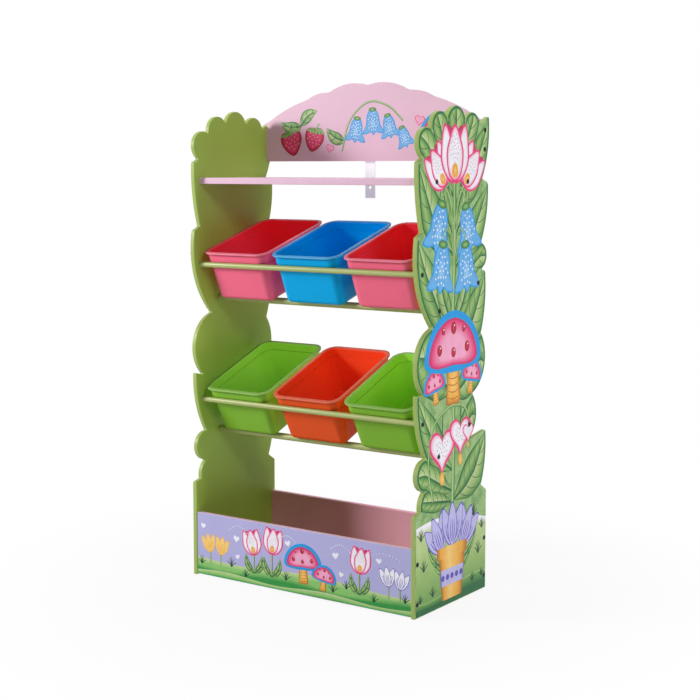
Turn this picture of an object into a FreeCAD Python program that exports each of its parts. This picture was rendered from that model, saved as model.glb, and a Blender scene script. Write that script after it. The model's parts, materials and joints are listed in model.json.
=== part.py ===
import FreeCAD, Part
import math
import os
import Sketcher
from FreeCAD import Placement, Rotation, Vector

# A child's toy organiser: two lobed side panels carry a shelf, a wavy header, two tiers of loose
# tilted bins on dowel rails, and an open toy box at the base.
# +Z is up, the front looks towards -Y, and the origin is on the floor below the middle.

# Driving dimensions, in millimetres and degrees.
DIMENSIONS = {
    # the loose bins, measured over the rim
    "bin_width": 196,
    "bin_depth": 263,
    "bin_height": 124,
    "bin_wall": 2.5,
    "bin_draft": 4.8,
    "bin_gap": 9,
    "bins_per_tier": 3,
    "rim_corner": 32,
    "wall_corner": 24,
    "foot_round": 12,
    "lip_width": 6,
    "lip_thickness": 4,
    "lip_round": 1.4,
    "band_height": 24,
    "band_step": 2,
    # the rails of one tier, and how a bin lies on them
    "rail_diameter": 13,
    "bottom_rail_diameter": 16,
    "rail_socket": 3,
    "rest_gap": 0.3,
    "upper_tilt": 16.9,
    "lower_tilt": 21.5,
    "upper_overhang": 30,
    "lower_overhang": 18,
    "cradle_setback": 95,
    "front_rail_drop": 6,
    # the side panels, from the floor up
    "panel_thickness": 12,
    "panel_margin": 24.5,
    "box_height": 231,
    "lower_tier_rise": 120.5,
    "tier_pitch": 328.5,
    "shelf_rise": 279,
    "shelf_thickness": 15,
    "crown_rise": 162,
    "corner_round": 3,
    "edge_round": 2,
    # the shelf and the header
    "shelf_front_inset": 22,
    "shelf_rear_inset": 40,
    "shelf_bolt_inset": 58,
    "header_thickness": 12,
    "header_drop": 122,
    "header_end_height": 94,
    "header_crest": 94,
    "header_valley_round": 40,
    "header_rear_inset": 16,
    "header_bolt_rise": 26,
    "header_bolt_pitch": 44,
    # the toy box
    "board_thickness": 12,
    "board_height": 154,
    "board_lift": 3,
    "board_front_inset": 2,
    "board_rear_inset": 3,
    "board_bolt_rise": 29,
    "board_bolt_pitch": 91,
    "floor_thickness": 6,
    "floor_rise": 9,
    "groove_depth": 5,
    "groove_play": 0.2,
    # socket bolts, barrel nuts and inserts
    "shank_diameter": 6,
    "head_diameter": 11,
    "head_height": 3,
    "head_proud": 0.8,
    "hex_circumradius": 2.9,
    "hex_depth": 1.8,
    "hole_play": 0.6,
    "fit_play": 0.2,
    "long_bolt": 42,
    "short_bolt": 17,
    "tip_room": 3,
    "nut_diameter": 10,
    "nut_length": 9,
    "nut_inset": 25,
    "insert_diameter": 9,
    "insert_length": 14,
    # the wall strap
    "strap_width": 28,
    "strap_length": 142,
    "strap_thickness": 2.5,
    "strap_overlap": 52,
    "strap_hole": 8,
    "strap_hole_end": 26,
    "strap_hole_pitch": 49,
    "screw_diameter": 3.6,
    "screw_head": 7.5,
    "screw_head_height": 2.2,
    "screw_length": 10,
    "screw_end": 14,
    "screw_pitch": 24,
}

doc = FreeCAD.newDocument("toy_organiser")
sheet = doc.addObject("Spreadsheet::Sheet", "sizes")
for row, (name, number) in enumerate(DIMENSIONS.items(), start=1):
    sheet.set(f"A{row}", name)
    sheet.set(f"B{row}", str(number))
    sheet.setAlias(f"B{row}", name)
doc.recompute()


class Size:
    """A length or an angle: its value, and the sheet expression that it follows."""

    def __init__(self, value, text):
        self.value = float(value)
        self.text = text

    def __add__(self, other):
        other = as_size(other)
        return Size(self.value + other.value, f"({self.text} + {other.text})")

    def __sub__(self, other):
        other = as_size(other)
        return Size(self.value - other.value, f"({self.text} - {other.text})")

    def __mul__(self, other):
        other = as_size(other)
        return Size(self.value * other.value, f"({self.text} * {other.text})")

    def __truediv__(self, other):
        other = as_size(other)
        return Size(self.value / other.value, f"({self.text} / {other.text})")

    def __neg__(self):
        return self * -1

    def __radd__(self, other):
        return as_size(other) + self

    def __rmul__(self, other):
        return as_size(other) * self


def as_size(item):
    """A plain number as a Size, and a Size as it is."""
    return item if isinstance(item, Size) else Size(item, f"({item})")


def size(name):
    """The Size of one cell of the sheet."""
    return Size(sheet.get(name), f"sizes.{name}")


def sine(angle):
    return Size(math.sin(math.radians(angle.value)), f"sin({angle.text})")


def cosine(angle):
    return Size(math.cos(math.radians(angle.value)), f"cos({angle.text})")


def tangent(angle):
    return Size(math.tan(math.radians(angle.value)), f"tan({angle.text})")


def bind(item, path, length):
    """Tie one property of an object to the sheet."""
    item.setExpression(path, as_size(length).text)


def place(item, x, y, z, tilt=None):
    """Put a sub-part at a point, tilted about X where an angle is given."""
    if tilt is not None:
        item.Placement = Placement(Vector(), Rotation(Vector(1, 0, 0), tilt.value))
        bind(item, "Placement.Rotation.Angle", tilt)
    bind(item, "Placement.Base.x", x)
    bind(item, "Placement.Base.y", y)
    bind(item, "Placement.Base.z", z)


sub_parts = []


def add_body(label):
    """A new sub-part, built from sketches and features."""
    body = doc.addObject("PartDesign::Body", label)
    sub_parts.append(body)
    return body


def add_sketch(body, role, offset=0):
    """A sketch on one of the body's own origin planes, moved along the plane's normal."""
    sketch = body.newObject("Sketcher::SketchObject", f"{body.Label}_sketch")
    plane = next(item for item in body.Origin.OriginFeatures if item.Role == role)
    sketch.AttachmentSupport = [(plane, "")]
    sketch.MapMode = "FlatFace"
    bind(sketch, "AttachmentOffset.Base.z", offset)
    return sketch


def pin_point(sketch, curve, end, point):
    """Hold one end of a curve at a point whose coordinates follow the sheet."""
    for direction, length in zip(("DistanceX", "DistanceY"), point):
        number = sketch.addConstraint(Sketcher.Constraint(direction, curve, end, length.value))
        sketch.setExpression(f"Constraints[{number}]", length.text)


def flat(point):
    """The present place of a pair of Sizes in its sketch."""
    return Vector(point[0].value, point[1].value, 0)


def add_outline(sketch, steps):
    """Draw a closed outline of pairs (via, end): a line where via is None, else an arc through it."""
    ends = []
    start = steps[-1][1]
    for via, end in steps:
        first, last = flat(start), flat(end)
        if via is None:
            curve = sketch.addGeometry(Part.LineSegment(first, last))
            ends.append((curve, 1, 2))
        else:
            middle = flat(via)
            turns_left = (middle - first).cross(last - middle).z > 0
            points = (first, middle, last) if turns_left else (last, middle, first)
            curve = sketch.addGeometry(Part.ArcOfCircle(*points))
            mark = sketch.addGeometry(Part.Point(middle), True)
            pin_point(sketch, mark, 1, via)
            sketch.addConstraint(Sketcher.Constraint("PointOnObject", mark, 1, curve))
            ends.append((curve, 1, 2) if turns_left else (curve, 2, 1))
        pin_point(sketch, curve, ends[-1][2], end)
        start = end
    for (before, _, leave), (after, enter, _) in zip(ends[-1:] + ends[:-1], ends):
        sketch.addConstraint(Sketcher.Constraint("Coincident", before, leave, after, enter))


def rectangle(low, high):
    """The steps of a plain rectangle between two opposite corners."""
    (left, bottom), (right, top) = low, high
    return [(None, corner) for corner in ((right, bottom), (right, top), (left, top), (left, bottom))]


def rounded_rectangle(width, depth, radius):
    """The steps of a rectangle about the origin with four round corners."""
    steps = []
    diagonal = radius * math.sqrt(0.5)
    for across, along in ((1, -1), (1, 1), (-1, 1), (-1, -1)):
        centre_x = across * (width / 2 - radius)
        centre_y = along * (depth / 2 - radius)
        side = (centre_x + across * radius, centre_y)
        end = (centre_x, centre_y + along * radius)
        via = (centre_x + across * diagonal, centre_y + along * diagonal)
        enter, leave = (end, side) if across * along < 0 else (side, end)
        steps += [(None, enter), (via, leave)]
    return steps


def add_circles(sketch, centres, diameter):
    """Draw equal circles about the given centres."""
    for centre in centres:
        circle = Part.Circle(flat(centre), Vector(0, 0, 1), diameter.value / 2)
        curve = sketch.addGeometry(circle)
        pin_point(sketch, curve, 3, centre)
        number = sketch.addConstraint(Sketcher.Constraint("Diameter", curve, diameter.value))
        sketch.setExpression(f"Constraints[{number}]", diameter.text)


def add_pad(body, sketch, length, downwards=False):
    """Raise a sketch along its plane's normal, or sink it the other way."""
    pad = body.newObject("PartDesign::Pad", f"{body.Label}_pad")
    pad.Profile = sketch
    pad.Reversed = downwards
    bind(pad, "Length", length)
    doc.recompute()
    return pad


def cut_pocket(body, sketch, length, along_normal=False):
    """Sink a sketch into the body against its plane's normal, or along it, and see that it cuts."""
    before = body.Shape.Volume
    pocket = body.newObject("PartDesign::Pocket", f"{body.Label}_pocket")
    pocket.Profile = sketch
    pocket.Reversed = along_normal
    bind(pocket, "Length", length)
    doc.recompute()
    if not body.Shape.Volume < before:
        raise ValueError(f"a pocket of {body.Label} cuts nothing")
    return pocket


def drill(body, role, offset, centres, diameter, depth, along_normal=False):
    """Bore equal holes into the body from a plane."""
    sketch = add_sketch(body, role, offset)
    add_circles(sketch, centres, diameter)
    return cut_pocket(body, sketch, depth, along_normal)


def face_names(shape, wanted):
    """The names of the faces that the test picks."""
    return [f"Face{number}" for number, face in enumerate(shape.Faces, start=1) if wanted(face)]


def taper_walls(body, angle):
    """Draw the upright walls of a block inwards below its top face, as a mould's draft does."""
    base = body.Tip
    top = base.Shape.BoundBox.ZMax
    taper = body.newObject("PartDesign::Draft", f"{body.Label}_taper")
    taper.Base = (base, face_names(base.Shape, lambda face: not lies_flat(face)))
    taper.NeutralPlane = (base, face_names(base.Shape, lambda face: lies_at(face, 2, top)))
    taper.Reversed = True
    bind(taper, "Angle", angle)
    doc.recompute()
    return taper


def hollow_out(body, wall):
    """Leave an even wall inside the body, open at its top face."""
    base = body.Tip
    top = base.Shape.BoundBox.ZMax
    shell = body.newObject("PartDesign::Thickness", f"{body.Label}_shell")
    shell.Base = (base, face_names(base.Shape, lambda face: lies_at(face, 2, top)))
    shell.Reversed = True
    bind(shell, "Value", wall)
    doc.recompute()
    return shell


def round_edges(body, radius, wanted):
    """Round the edges of the body that the test picks."""
    base = body.Tip
    names = [f"Edge{number}" for number, edge in enumerate(base.Shape.Edges, start=1) if wanted(edge)]
    fillet = body.newObject("PartDesign::Fillet", f"{body.Label}_round")
    fillet.Base = (base, names)
    bind(fillet, "Radius", radius)
    doc.recompute()
    return fillet


NEAR = 100 * Part.Precision.confusion()


def lies_flat(item):
    """True for a face or an edge that has no height."""
    return item.BoundBox.ZLength < NEAR


def lies_at(item, axis, *levels):
    """True for a face or an edge that lies wholly at one of the levels along an axis (0, 1 or 2)."""
    box = item.BoundBox
    low = (box.XMin, box.YMin, box.ZMin)[axis]
    high = (box.XMax, box.YMax, box.ZMax)[axis]
    return high - low < NEAR and any(abs(low - level) < NEAR for level in levels)


def add_primitive(kind, label, **lengths):
    """A basic solid whose sizes follow the sheet."""
    item = doc.addObject(kind, label)
    for path, length in lengths.items():
        bind(item, path, length)
    return item


def join(kind, label, base, tool):
    """A boolean of two solids."""
    item = doc.addObject(kind, label)
    item.Base = base
    item.Tool = tool
    doc.recompute()
    return item


def add_group(label, master, places):
    """One sub-part of equal separate solids: the master set down at each place."""
    node = doc.addObject("Part::Feature", label)
    copies = []
    for spot in places:
        solid = master.Shape.copy()
        solid.Placement = spot.multiply(solid.Placement)
        copies.append(solid)
    node.Shape = Part.Compound(copies)
    sub_parts.append(node)
    return node


# Overall sizes that follow from the driving dimensions.
thickness = size("panel_thickness")
inner_width = size("bins_per_tier") * size("bin_width") + (size("bins_per_tier") + 1) * size("bin_gap")
panel_depth = size("bin_depth") + 2 * size("panel_margin")
front_edge = -panel_depth / 2
rear_edge = panel_depth / 2
box_top = size("box_height")
lower_level = box_top + size("lower_tier_rise")
upper_level = lower_level + size("tier_pitch")
shelf_underside = upper_level + size("shelf_rise")
shelf_top = shelf_underside + size("shelf_thickness")
panel_top = shelf_top + size("crown_rise")
half_width = inner_width / 2

# Places where bolts pass through the panels, as (y, z) pairs.
shelf_front = front_edge + size("shelf_front_inset")
shelf_rear = rear_edge - size("shelf_rear_inset")
shelf_bolt_ys = (shelf_front + size("shelf_bolt_inset"), shelf_rear - size("shelf_bolt_inset"))
shelf_bolt_z = shelf_underside + size("shelf_thickness") / 2
shelf_spots = [(y, shelf_bolt_z) for y in shelf_bolt_ys]

header_base = panel_top - size("header_drop")
header_rear = rear_edge - size("header_rear_inset")
header_bolt_y = header_rear - size("header_thickness") / 2
header_bolt_rises = (size("header_bolt_rise"), size("header_bolt_rise") + size("header_bolt_pitch"))
header_spots = [(header_bolt_y, header_base + rise) for rise in header_bolt_rises]

board = size("board_thickness")
front_board_rear = front_edge + size("board_front_inset") + board
back_board_rear = rear_edge - size("board_rear_inset")
board_bolt_rises = (size("board_bolt_rise"), size("board_bolt_rise") + size("board_bolt_pitch"))
board_bolt_ys = (front_board_rear - board / 2, back_board_rear - board / 2)
box_spots = [(y, size("board_lift") + rise) for y in board_bolt_ys for rise in board_bolt_rises]

# How one bin lies on its three rails. Along the bin's floor v runs backwards from the bottom rail,
# and w runs up from the bin's underside. A slim rail's centre lies one reach from the bin's face,
# and the stout bottom rail's centre lies one bed below its floor.
slim = size("rail_diameter")
stout = size("bottom_rail_diameter")
reach = slim / 2 + size("rest_gap")
bed = stout / 2 + size("rest_gap")
draft = size("bin_draft")
wall_height = size("bin_height") - size("band_height")
shoulder_inset = size("lip_width") + size("band_step")
floor_inset = shoulder_inset + wall_height * tangent(draft)
floor_depth = size("bin_depth") - 2 * floor_inset
cradle_y = front_edge + size("cradle_setback")
front_rail_w = wall_height - size("front_rail_drop")
front_rail_gap = front_rail_w * tangent(draft) + reach / cosine(draft)


class Tier:
    """The rails of one tier and the place of its bins, from the bottom rail's level and the tilt.

    Each rail is the (y, z) place of its centre and its diameter.
    """

    def __init__(self, name, level, rear_share):
        self.name = name
        self.tilt = size(f"{name}_tilt")
        self.level = level
        overhang = size(f"{name}_overhang")
        self.rails = {
            "front": (self.spot(-overhang - front_rail_gap, front_rail_w), slim),
            "bottom": (self.spot(as_size(0), -bed), stout),
            "rear": (self.spot(rear_share * floor_depth - overhang, -reach), slim),
        }
        self.bin_spot = self.spot(floor_depth / 2 - overhang, as_size(0))

    def spot(self, along, up):
        """The (y, z) place of a point given along the bin's floor and up from its underside."""
        rise = up + bed
        y = cradle_y + along * cosine(self.tilt) - rise * sine(self.tilt)
        z = self.level + along * sine(self.tilt) + rise * cosine(self.tilt)
        return y, z


# The rear rail's place along the bin's floor differs between the tiers.
UPPER_REAR_RAIL_SHARE = 0.90
LOWER_REAR_RAIL_SHARE = 0.71
tiers = (
    Tier("upper", upper_level, UPPER_REAR_RAIL_SHARE),
    Tier("lower", lower_level, LOWER_REAR_RAIL_SHARE),
)
rails = [rail for tier in tiers for rail in tier.rails.values()]
rail_spots = [spot for spot, diameter in rails]

# The lobed edge of a side panel, from the box's front shoulder over the top to its rear shoulder.
# Each entry is a corner, with the middle of a round lobe before it where the edge is an arc.
# A point is a share of the half depth, to the rear, and of the height above the box.
PANEL_EDGE_SHARES = (
    (None, (-1.00, 0.000)),
    (None, (-0.86, 0.006)),
    ((-0.85, 0.034), (-0.73, 0.056)),
    ((-0.97, 0.095), (-0.72, 0.135)),
    ((-0.90, 0.200), (-0.97, 0.298)),
    (None, (-0.74, 0.286)),
    ((-0.98, 0.377), (-0.56, 0.456)),
    ((-0.87, 0.530), (-0.97, 0.680)),
    (None, (-0.84, 0.691)),
    ((-0.93, 0.755), (-0.97, 0.860)),
    (None, (-0.84, 0.871)),
    ((-0.97, 0.905), (-0.61, 0.936)),
    ((-0.50, 0.980), (-0.20, 0.966)),
    ((0.05, 1.000), (0.30, 0.964)),
    ((0.51, 0.986), (0.71, 0.957)),
    (None, (0.98, 0.978)),
    ((0.97, 0.900), (0.80, 0.820)),
    (None, (0.97, 0.810)),
    ((0.94, 0.730), (0.78, 0.657)),
    ((0.95, 0.625), (0.71, 0.590)),
    (None, (0.91, 0.584)),
    ((0.92, 0.510), (0.80, 0.425)),
    ((0.93, 0.352), (0.56, 0.272)),
    ((0.68, 0.215), (0.42, 0.152)),
    (None, (0.96, 0.168)),
    ((0.96, 0.098), (0.84, 0.026)),
    (None, (1.00, 0.008)),
)


def panel_point(shares):
    """A point of the panel's edge, from its shares of the half depth and of the height above the box."""
    return shares[0] * rear_edge, box_top + shares[1] * (panel_top - box_top)


def side_panel(label):
    """The right-hand lobed panel, its inner face on the body's own YZ plane."""
    body = add_body(label)
    steps = [(via and panel_point(via), panel_point(end)) for via, end in PANEL_EDGE_SHARES]
    floor_level = as_size(0)
    steps += [(None, (rear_edge, floor_level)), (None, (front_edge, floor_level))]
    sketch = add_sketch(body, "YZ_Plane")
    add_outline(sketch, steps)
    add_pad(body, sketch, thickness)
    shoulder = box_top.value / 2
    round_edges(body, size("corner_round"), lambda edge: edge.BoundBox.ZMin > shoulder
                and edge.BoundBox.YLength < edge.BoundBox.XLength / 2
                and edge.BoundBox.ZLength < edge.BoundBox.XLength / 2)
    round_edges(body, size("edge_round"), lambda edge: edge.BoundBox.ZMax > 0
                and lies_at(edge, 0, 0, thickness.value))
    shank_hole = size("shank_diameter") + size("hole_play")
    for bore in (slim, stout):
        sockets = [spot for spot, diameter in rails if diameter is bore]
        drill(body, "YZ_Plane", 0, sockets, bore + size("fit_play"), size("rail_socket"), along_normal=True)
    spots = rail_spots + shelf_spots + header_spots + box_spots
    drill(body, "YZ_Plane", thickness, spots, shank_hole, thickness)
    head_hole = size("head_diameter") + size("hole_play")
    drill(body, "YZ_Plane", thickness, spots, head_hole, size("head_height") - size("head_proud"))
    place(body, half_width, 0, 0)
    return body


right_panel = side_panel("side_panel_right")
left_panel = doc.addObject("Part::Mirroring", "side_panel_left")
left_panel.Source = right_panel
left_panel.Normal = Vector(1, 0, 0)
sub_parts.append(left_panel)


# The boards between the panels. Each end takes two long bolts, which screw into barrel nuts that
# are let into one face of the board.
bolt_grip = thickness - size("head_height") + size("head_proud")
end_hole_depth = size("long_bolt") - bolt_grip + size("tip_room")
nut_hole = size("nut_diameter") + size("fit_play")
nut_x = half_width - size("nut_inset")


def nut_sink(board_depth):
    """How far a barrel nut lies below a board's face, so that its thread is at mid-thickness."""
    return (board_depth - size("nut_length")) / 2


def drill_nuts(body, role, face, spots, board_depth, along_normal):
    """Bore the barrel nuts' holes into one face of a board."""
    depth = nut_sink(board_depth) + size("nut_length")
    drill(body, role, face, spots, nut_hole, depth, along_normal)


def drill_ends(body, spots):
    """Bore the bolt holes into both ends of a board; the spots lie in its YZ plane."""
    diameter = size("shank_diameter") + size("hole_play")
    drill(body, "YZ_Plane", half_width, spots, diameter, end_hole_depth)
    drill(body, "YZ_Plane", -half_width, spots, diameter, end_hole_depth, along_normal=True)


def top_shelf():
    """The flat shelf, with soft long edges and barrel nuts let in from below."""
    body = add_body("top_shelf")
    sketch = add_sketch(body, "XY_Plane")
    add_outline(sketch, rectangle((-half_width, shelf_front), (half_width, shelf_rear)))
    add_pad(body, sketch, size("shelf_thickness"))
    round_edges(body, size("edge_round"), lambda edge: edge.BoundBox.XLength > half_width.value)
    nut_spots = [(side * nut_x, y) for side in (-1, 1) for y in shelf_bolt_ys]
    drill_nuts(body, "XY_Plane", 0, nut_spots, size("shelf_thickness"), along_normal=True)
    drill_ends(body, [(y, size("shelf_thickness") / 2) for y in shelf_bolt_ys])
    place(body, 0, 0, shelf_underside)


# The wavy top edge of the header from its right-hand end to the middle: each bump is an arc's middle
# and its end, as shares of the half width and of the rise of the crest over the ends.
HEADER_BUMP_SHARES = (
    ((0.77, 0.41), (0.58, 0.62)),
    ((0.47, 0.77), (0.37, 0.78)),
    ((0.18, 1.00), (0.00, 0.94)),
)


def header_board():
    """The header, its rear face on the body's own XZ plane, with bumps and soft valleys along its top."""
    body = add_body("header_board")
    end_top = size("header_end_height")

    def crest_point(shares, side):
        return side * shares[0] * half_width, end_top + shares[1] * size("header_crest")

    base = as_size(0)
    steps = [(None, (half_width, base)), (None, (half_width, end_top))]
    steps += [(crest_point(via, 1), crest_point(end, 1)) for via, end in HEADER_BUMP_SHARES]
    left_ends = [end for via, end in HEADER_BUMP_SHARES[-2::-1]] + [(1, 0)]
    for (via, _), end in zip(reversed(HEADER_BUMP_SHARES), left_ends):
        steps.append((crest_point(via, -1), crest_point(end, -1)))
    steps.append((None, (-half_width, base)))
    sketch = add_sketch(body, "XZ_Plane")
    add_outline(sketch, steps)
    add_pad(body, sketch, size("header_thickness"))
    round_edges(body, size("header_valley_round"), lambda edge: edge.BoundBox.ZMin > end_top.value + NEAR
                and edge.BoundBox.XLength < NEAR and lies_flat(edge))
    nut_spots = [(side * nut_x, rise) for side in (-1, 1) for rise in header_bolt_rises]
    drill_nuts(body, "XZ_Plane", 0, nut_spots, size("header_thickness"), along_normal=True)
    drill_ends(body, [(-size("header_thickness") / 2, rise) for rise in header_bolt_rises])
    drill(body, "XZ_Plane", 0, screw_spots(), size("screw_diameter") + size("fit_play"),
          size("screw_length") - size("strap_thickness") + size("fit_play"), along_normal=True)
    place(body, 0, header_rear, header_base)


def screw_spots():
    """The strap screws' places in the header's own plane, measured from the header's lower edge."""
    top = size("strap_overlap") - size("screw_end")
    return [(as_size(0), top - step * size("screw_pitch")) for step in range(2)]


def box_board(label, rear_face, nuts_at_rear):
    """A long board of the toy box, grooved for the floor on the side that takes the barrel nuts."""
    body = add_body(label)
    base = as_size(0)
    inner_face = as_size(0) if nuts_at_rear else board
    sketch = add_sketch(body, "XZ_Plane")
    add_outline(sketch, rectangle((-half_width, base), (half_width, size("board_height"))))
    add_pad(body, sketch, board)
    round_edges(body, size("edge_round"), lambda edge: edge.BoundBox.XLength > half_width.value
                and lies_at(edge, 2, size("board_height").value))
    groove = add_sketch(body, "XZ_Plane", inner_face)
    groove_low = size("floor_rise") - size("groove_play")
    groove_high = size("floor_rise") + size("floor_thickness") + size("groove_play")
    add_outline(groove, rectangle((-half_width, groove_low), (half_width, groove_high)))
    cut_pocket(body, groove, size("groove_depth") + size("groove_play"), along_normal=nuts_at_rear)
    nut_spots = [(side * nut_x, rise) for side in (-1, 1) for rise in board_bolt_rises]
    drill_nuts(body, "XZ_Plane", inner_face, nut_spots, board, along_normal=nuts_at_rear)
    drill_ends(body, [(-board / 2, rise) for rise in board_bolt_rises])
    place(body, 0, rear_face, size("board_lift"))


def box_floor():
    """The thin floor of the toy box, held in the grooves of both boards."""
    body = add_body("box_floor")
    sketch = add_sketch(body, "XY_Plane")
    front = front_board_rear - size("groove_depth")
    rear = back_board_rear - board + size("groove_depth")
    add_outline(sketch, rectangle((-half_width, front), (half_width, rear)))
    add_pad(body, sketch, size("floor_thickness"))
    place(body, 0, 0, size("board_lift") + size("floor_rise"))


top_shelf()
header_board()
box_board("box_front_board", front_board_rear, nuts_at_rear=True)
box_board("box_back_board", back_board_rear, nuts_at_rear=False)
box_floor()

# Rails: dowels that end in shallow sockets of the panels, bored at both ends for their inserts.
half_rail = half_width + size("rail_socket")


def add_rail(label, spot, diameter):
    """One dowel across the panels, about the body's own X axis."""
    body = add_body(label)
    axis = [(as_size(0), as_size(0))]
    sketch = add_sketch(body, "YZ_Plane", -half_rail)
    add_circles(sketch, axis, diameter)
    add_pad(body, sketch, 2 * half_rail)
    bore = size("insert_diameter") + size("fit_play")
    bore_depth = size("insert_length") + size("tip_room")
    drill(body, "YZ_Plane", half_rail, axis, bore, bore_depth)
    drill(body, "YZ_Plane", -half_rail, axis, bore, bore_depth, along_normal=True)
    place(body, 0, *spot)


for tier in tiers:
    for position, (spot, diameter) in tier.rails.items():
        add_rail(f"{tier.name}_{position}_rail", spot, diameter)


def tub(label, x, tier):
    """One loose bin: a tapered tub with a stepped band and a flat lip around its rim.

    The body's own origin is in the middle of its underside, with +Z up along the tub.
    """
    body = add_body(label)
    wall = size("bin_wall")
    lip = size("lip_width")
    lean = wall / cosine(draft)

    def section(level, *outlines):
        """A sketch across the tub, with an outline for each pair of inset and corner radius."""
        sketch = add_sketch(body, "XY_Plane", level)
        for inset, radius in outlines:
            width = size("bin_width") - 2 * inset
            depth = size("bin_depth") - 2 * inset
            add_outline(sketch, rounded_rectangle(width, depth, radius))
        return sketch

    shoulder = (shoulder_inset, size("wall_corner"))
    add_pad(body, section(wall_height, shoulder), wall_height, downwards=True)
    taper_walls(body, draft)
    round_edges(body, size("foot_round"), lambda edge: lies_at(edge, 2, 0))
    hollow_out(body, wall)

    band = (lip, size("rim_corner") - lip)
    opening = (shoulder_inset + lean, size("wall_corner") - lean)
    add_pad(body, section(wall_height, band, opening), wall)
    mouth = (lip + wall, size("rim_corner") - lip - wall)
    add_pad(body, section(wall_height + wall, band, mouth), size("band_height") - wall)
    lip_level = size("bin_height") - size("lip_thickness")
    rim = (as_size(0), size("rim_corner"))
    add_pad(body, section(lip_level, rim, band), size("lip_thickness"))
    round_edges(body, size("lip_round"), lambda edge: is_outer(edge)
                and lies_at(edge, 2, lip_level.value, size("bin_height").value))
    place(body, x, *tier.bin_spot, tilt=tier.tilt)


def is_outer(edge):
    """True for an edge of a rim's outermost outline, rather than of the band inside it."""
    box = edge.BoundBox
    inside = size("lip_width").value / 2
    far_x = max(-box.XMin, box.XMax) > size("bin_width").value / 2 - inside
    far_y = max(-box.YMin, box.YMax) > size("bin_depth").value / 2 - inside
    return far_x or far_y


BIN_NAMES = ("left", "middle", "right")
bin_pitch = size("bin_width") + size("bin_gap")
for tier in tiers:
    for index, side in enumerate(BIN_NAMES):
        tub(f"bin_{tier.name}_{side}", (index - 1) * bin_pitch, tier)


# The wall strap hangs from the header's rear face, and two screws hold it there.
def wall_strap():
    """A flat strip with round ends, its front face on the body's own XZ plane at the header's lower edge."""
    body = add_body("wall_strap")
    half = size("strap_width") / 2
    top = size("strap_overlap")
    low = top - size("strap_length")
    base = as_size(0)
    sketch = add_sketch(body, "XZ_Plane")
    shoulder = top - half
    add_outline(sketch, [(None, (half, low)), (None, (half, shoulder)),
                         ((base, top), (-half, shoulder)), (None, (-half, low))])
    add_pad(body, sketch, size("strap_thickness"))
    low_hole = low + size("strap_hole_end")
    wall_holes = [(base, low_hole), (base, low_hole + size("strap_hole_pitch"))]
    drill(body, "XZ_Plane", 0, wall_holes, size("strap_hole"), size("strap_thickness"), along_normal=True)
    drill(body, "XZ_Plane", 0, screw_spots(), size("screw_diameter") + size("fit_play"),
          size("strap_thickness"), along_normal=True)
    place(body, 0, header_rear + size("strap_thickness"), header_base)


wall_strap()


# Fasteners. Each master lies along +Z with its outer end at the origin.
def socket_bolt(label, length):
    """A flat-headed bolt with a hexagon socket: the head's outer face at the origin, the shank below."""
    head = add_primitive("Part::Cylinder", f"{label}_head", Radius=size("head_diameter") / 2,
                         Height=size("head_height"))
    place(head, 0, 0, -size("head_height"))
    shank = add_primitive("Part::Cylinder", f"{label}_shank", Radius=size("shank_diameter") / 2,
                          Height=length)
    place(shank, 0, 0, -length - size("head_height"))
    blank = join("Part::Fuse", f"{label}_blank", head, shank)
    socket = add_primitive("Part::Prism", f"{label}_socket", Circumradius=size("hex_circumradius"),
                           Height=size("hex_depth"))
    place(socket, 0, 0, -size("hex_depth"))
    return join("Part::Cut", label, blank, socket)


def bored_cylinder(label, diameter, length, bore, across):
    """A cylinder up from the origin with a hole along it, or across its middle."""
    outer = add_primitive("Part::Cylinder", f"{label}_outer", Radius=diameter / 2, Height=length)
    hole = add_primitive("Part::Cylinder", f"{label}_bore", Radius=bore / 2, Height=diameter + length)
    if across:
        hole.Placement = Placement(Vector(), Rotation(Vector(0, 1, 0), 90))
        bind(hole, "Placement.Base.x", -(diameter + length) / 2)
        bind(hole, "Placement.Base.z", length / 2)
    else:
        bind(hole, "Placement.Base.z", -diameter / 2)
    return join("Part::Cut", label, outer, hole)


def wood_screw(label):
    """A flat-headed screw: the underside of its head at the origin, the shank below."""
    head = add_primitive("Part::Cone", f"{label}_head", Radius1=size("screw_head") / 2,
                         Radius2=size("screw_diameter") / 2, Height=size("screw_head_height"))
    shank = add_primitive("Part::Cylinder", f"{label}_shank", Radius=size("screw_diameter") / 2,
                          Height=size("screw_length"))
    place(shank, 0, 0, -size("screw_length"))
    return join("Part::Fuse", label, head, shank)


long_bolt = socket_bolt("long_bolt_master", size("long_bolt"))
short_bolt = socket_bolt("short_bolt_master", size("short_bolt"))
thread_bore = size("shank_diameter") + size("fit_play")
barrel_nut = bored_cylinder("barrel_nut_master", size("nut_diameter"), size("nut_length"), thread_bore,
                            across=True)
insert = bored_cylinder("insert_master", size("insert_diameter"), size("insert_length"), thread_bore,
                        across=False)
screw = wood_screw("screw_master")

outward = {side: Rotation(Vector(0, 1, 0), side * 90) for side in (-1, 1)}
head_x = half_width.value + thickness.value + size("head_proud").value


def on_both_sides(x, spots):
    """Places facing outward on both sides, at a distance from the middle and at (y, z) spots."""
    return [Placement(Vector(side * x, y.value, z.value), outward[side])
            for side in (-1, 1) for y, z in spots]


def nut_places(spots, turn):
    """Places for barrel nuts at (y, z) spots of their bolts, with each nut's axis turned to its face."""
    return [Placement(Vector(side * nut_x.value, y.value, z.value), turn)
            for side in (-1, 1) for y, z in spots]


add_group("rail_bolts", short_bolt, on_both_sides(head_x, rail_spots))
add_group("rail_inserts", insert, on_both_sides(half_rail.value - size("insert_length").value, rail_spots))
add_group("shelf_bolts", long_bolt, on_both_sides(head_x, shelf_spots))
add_group("header_bolts", long_bolt, on_both_sides(head_x, header_spots))
add_group("box_bolts", long_bolt, on_both_sides(head_x, box_spots))

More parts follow.
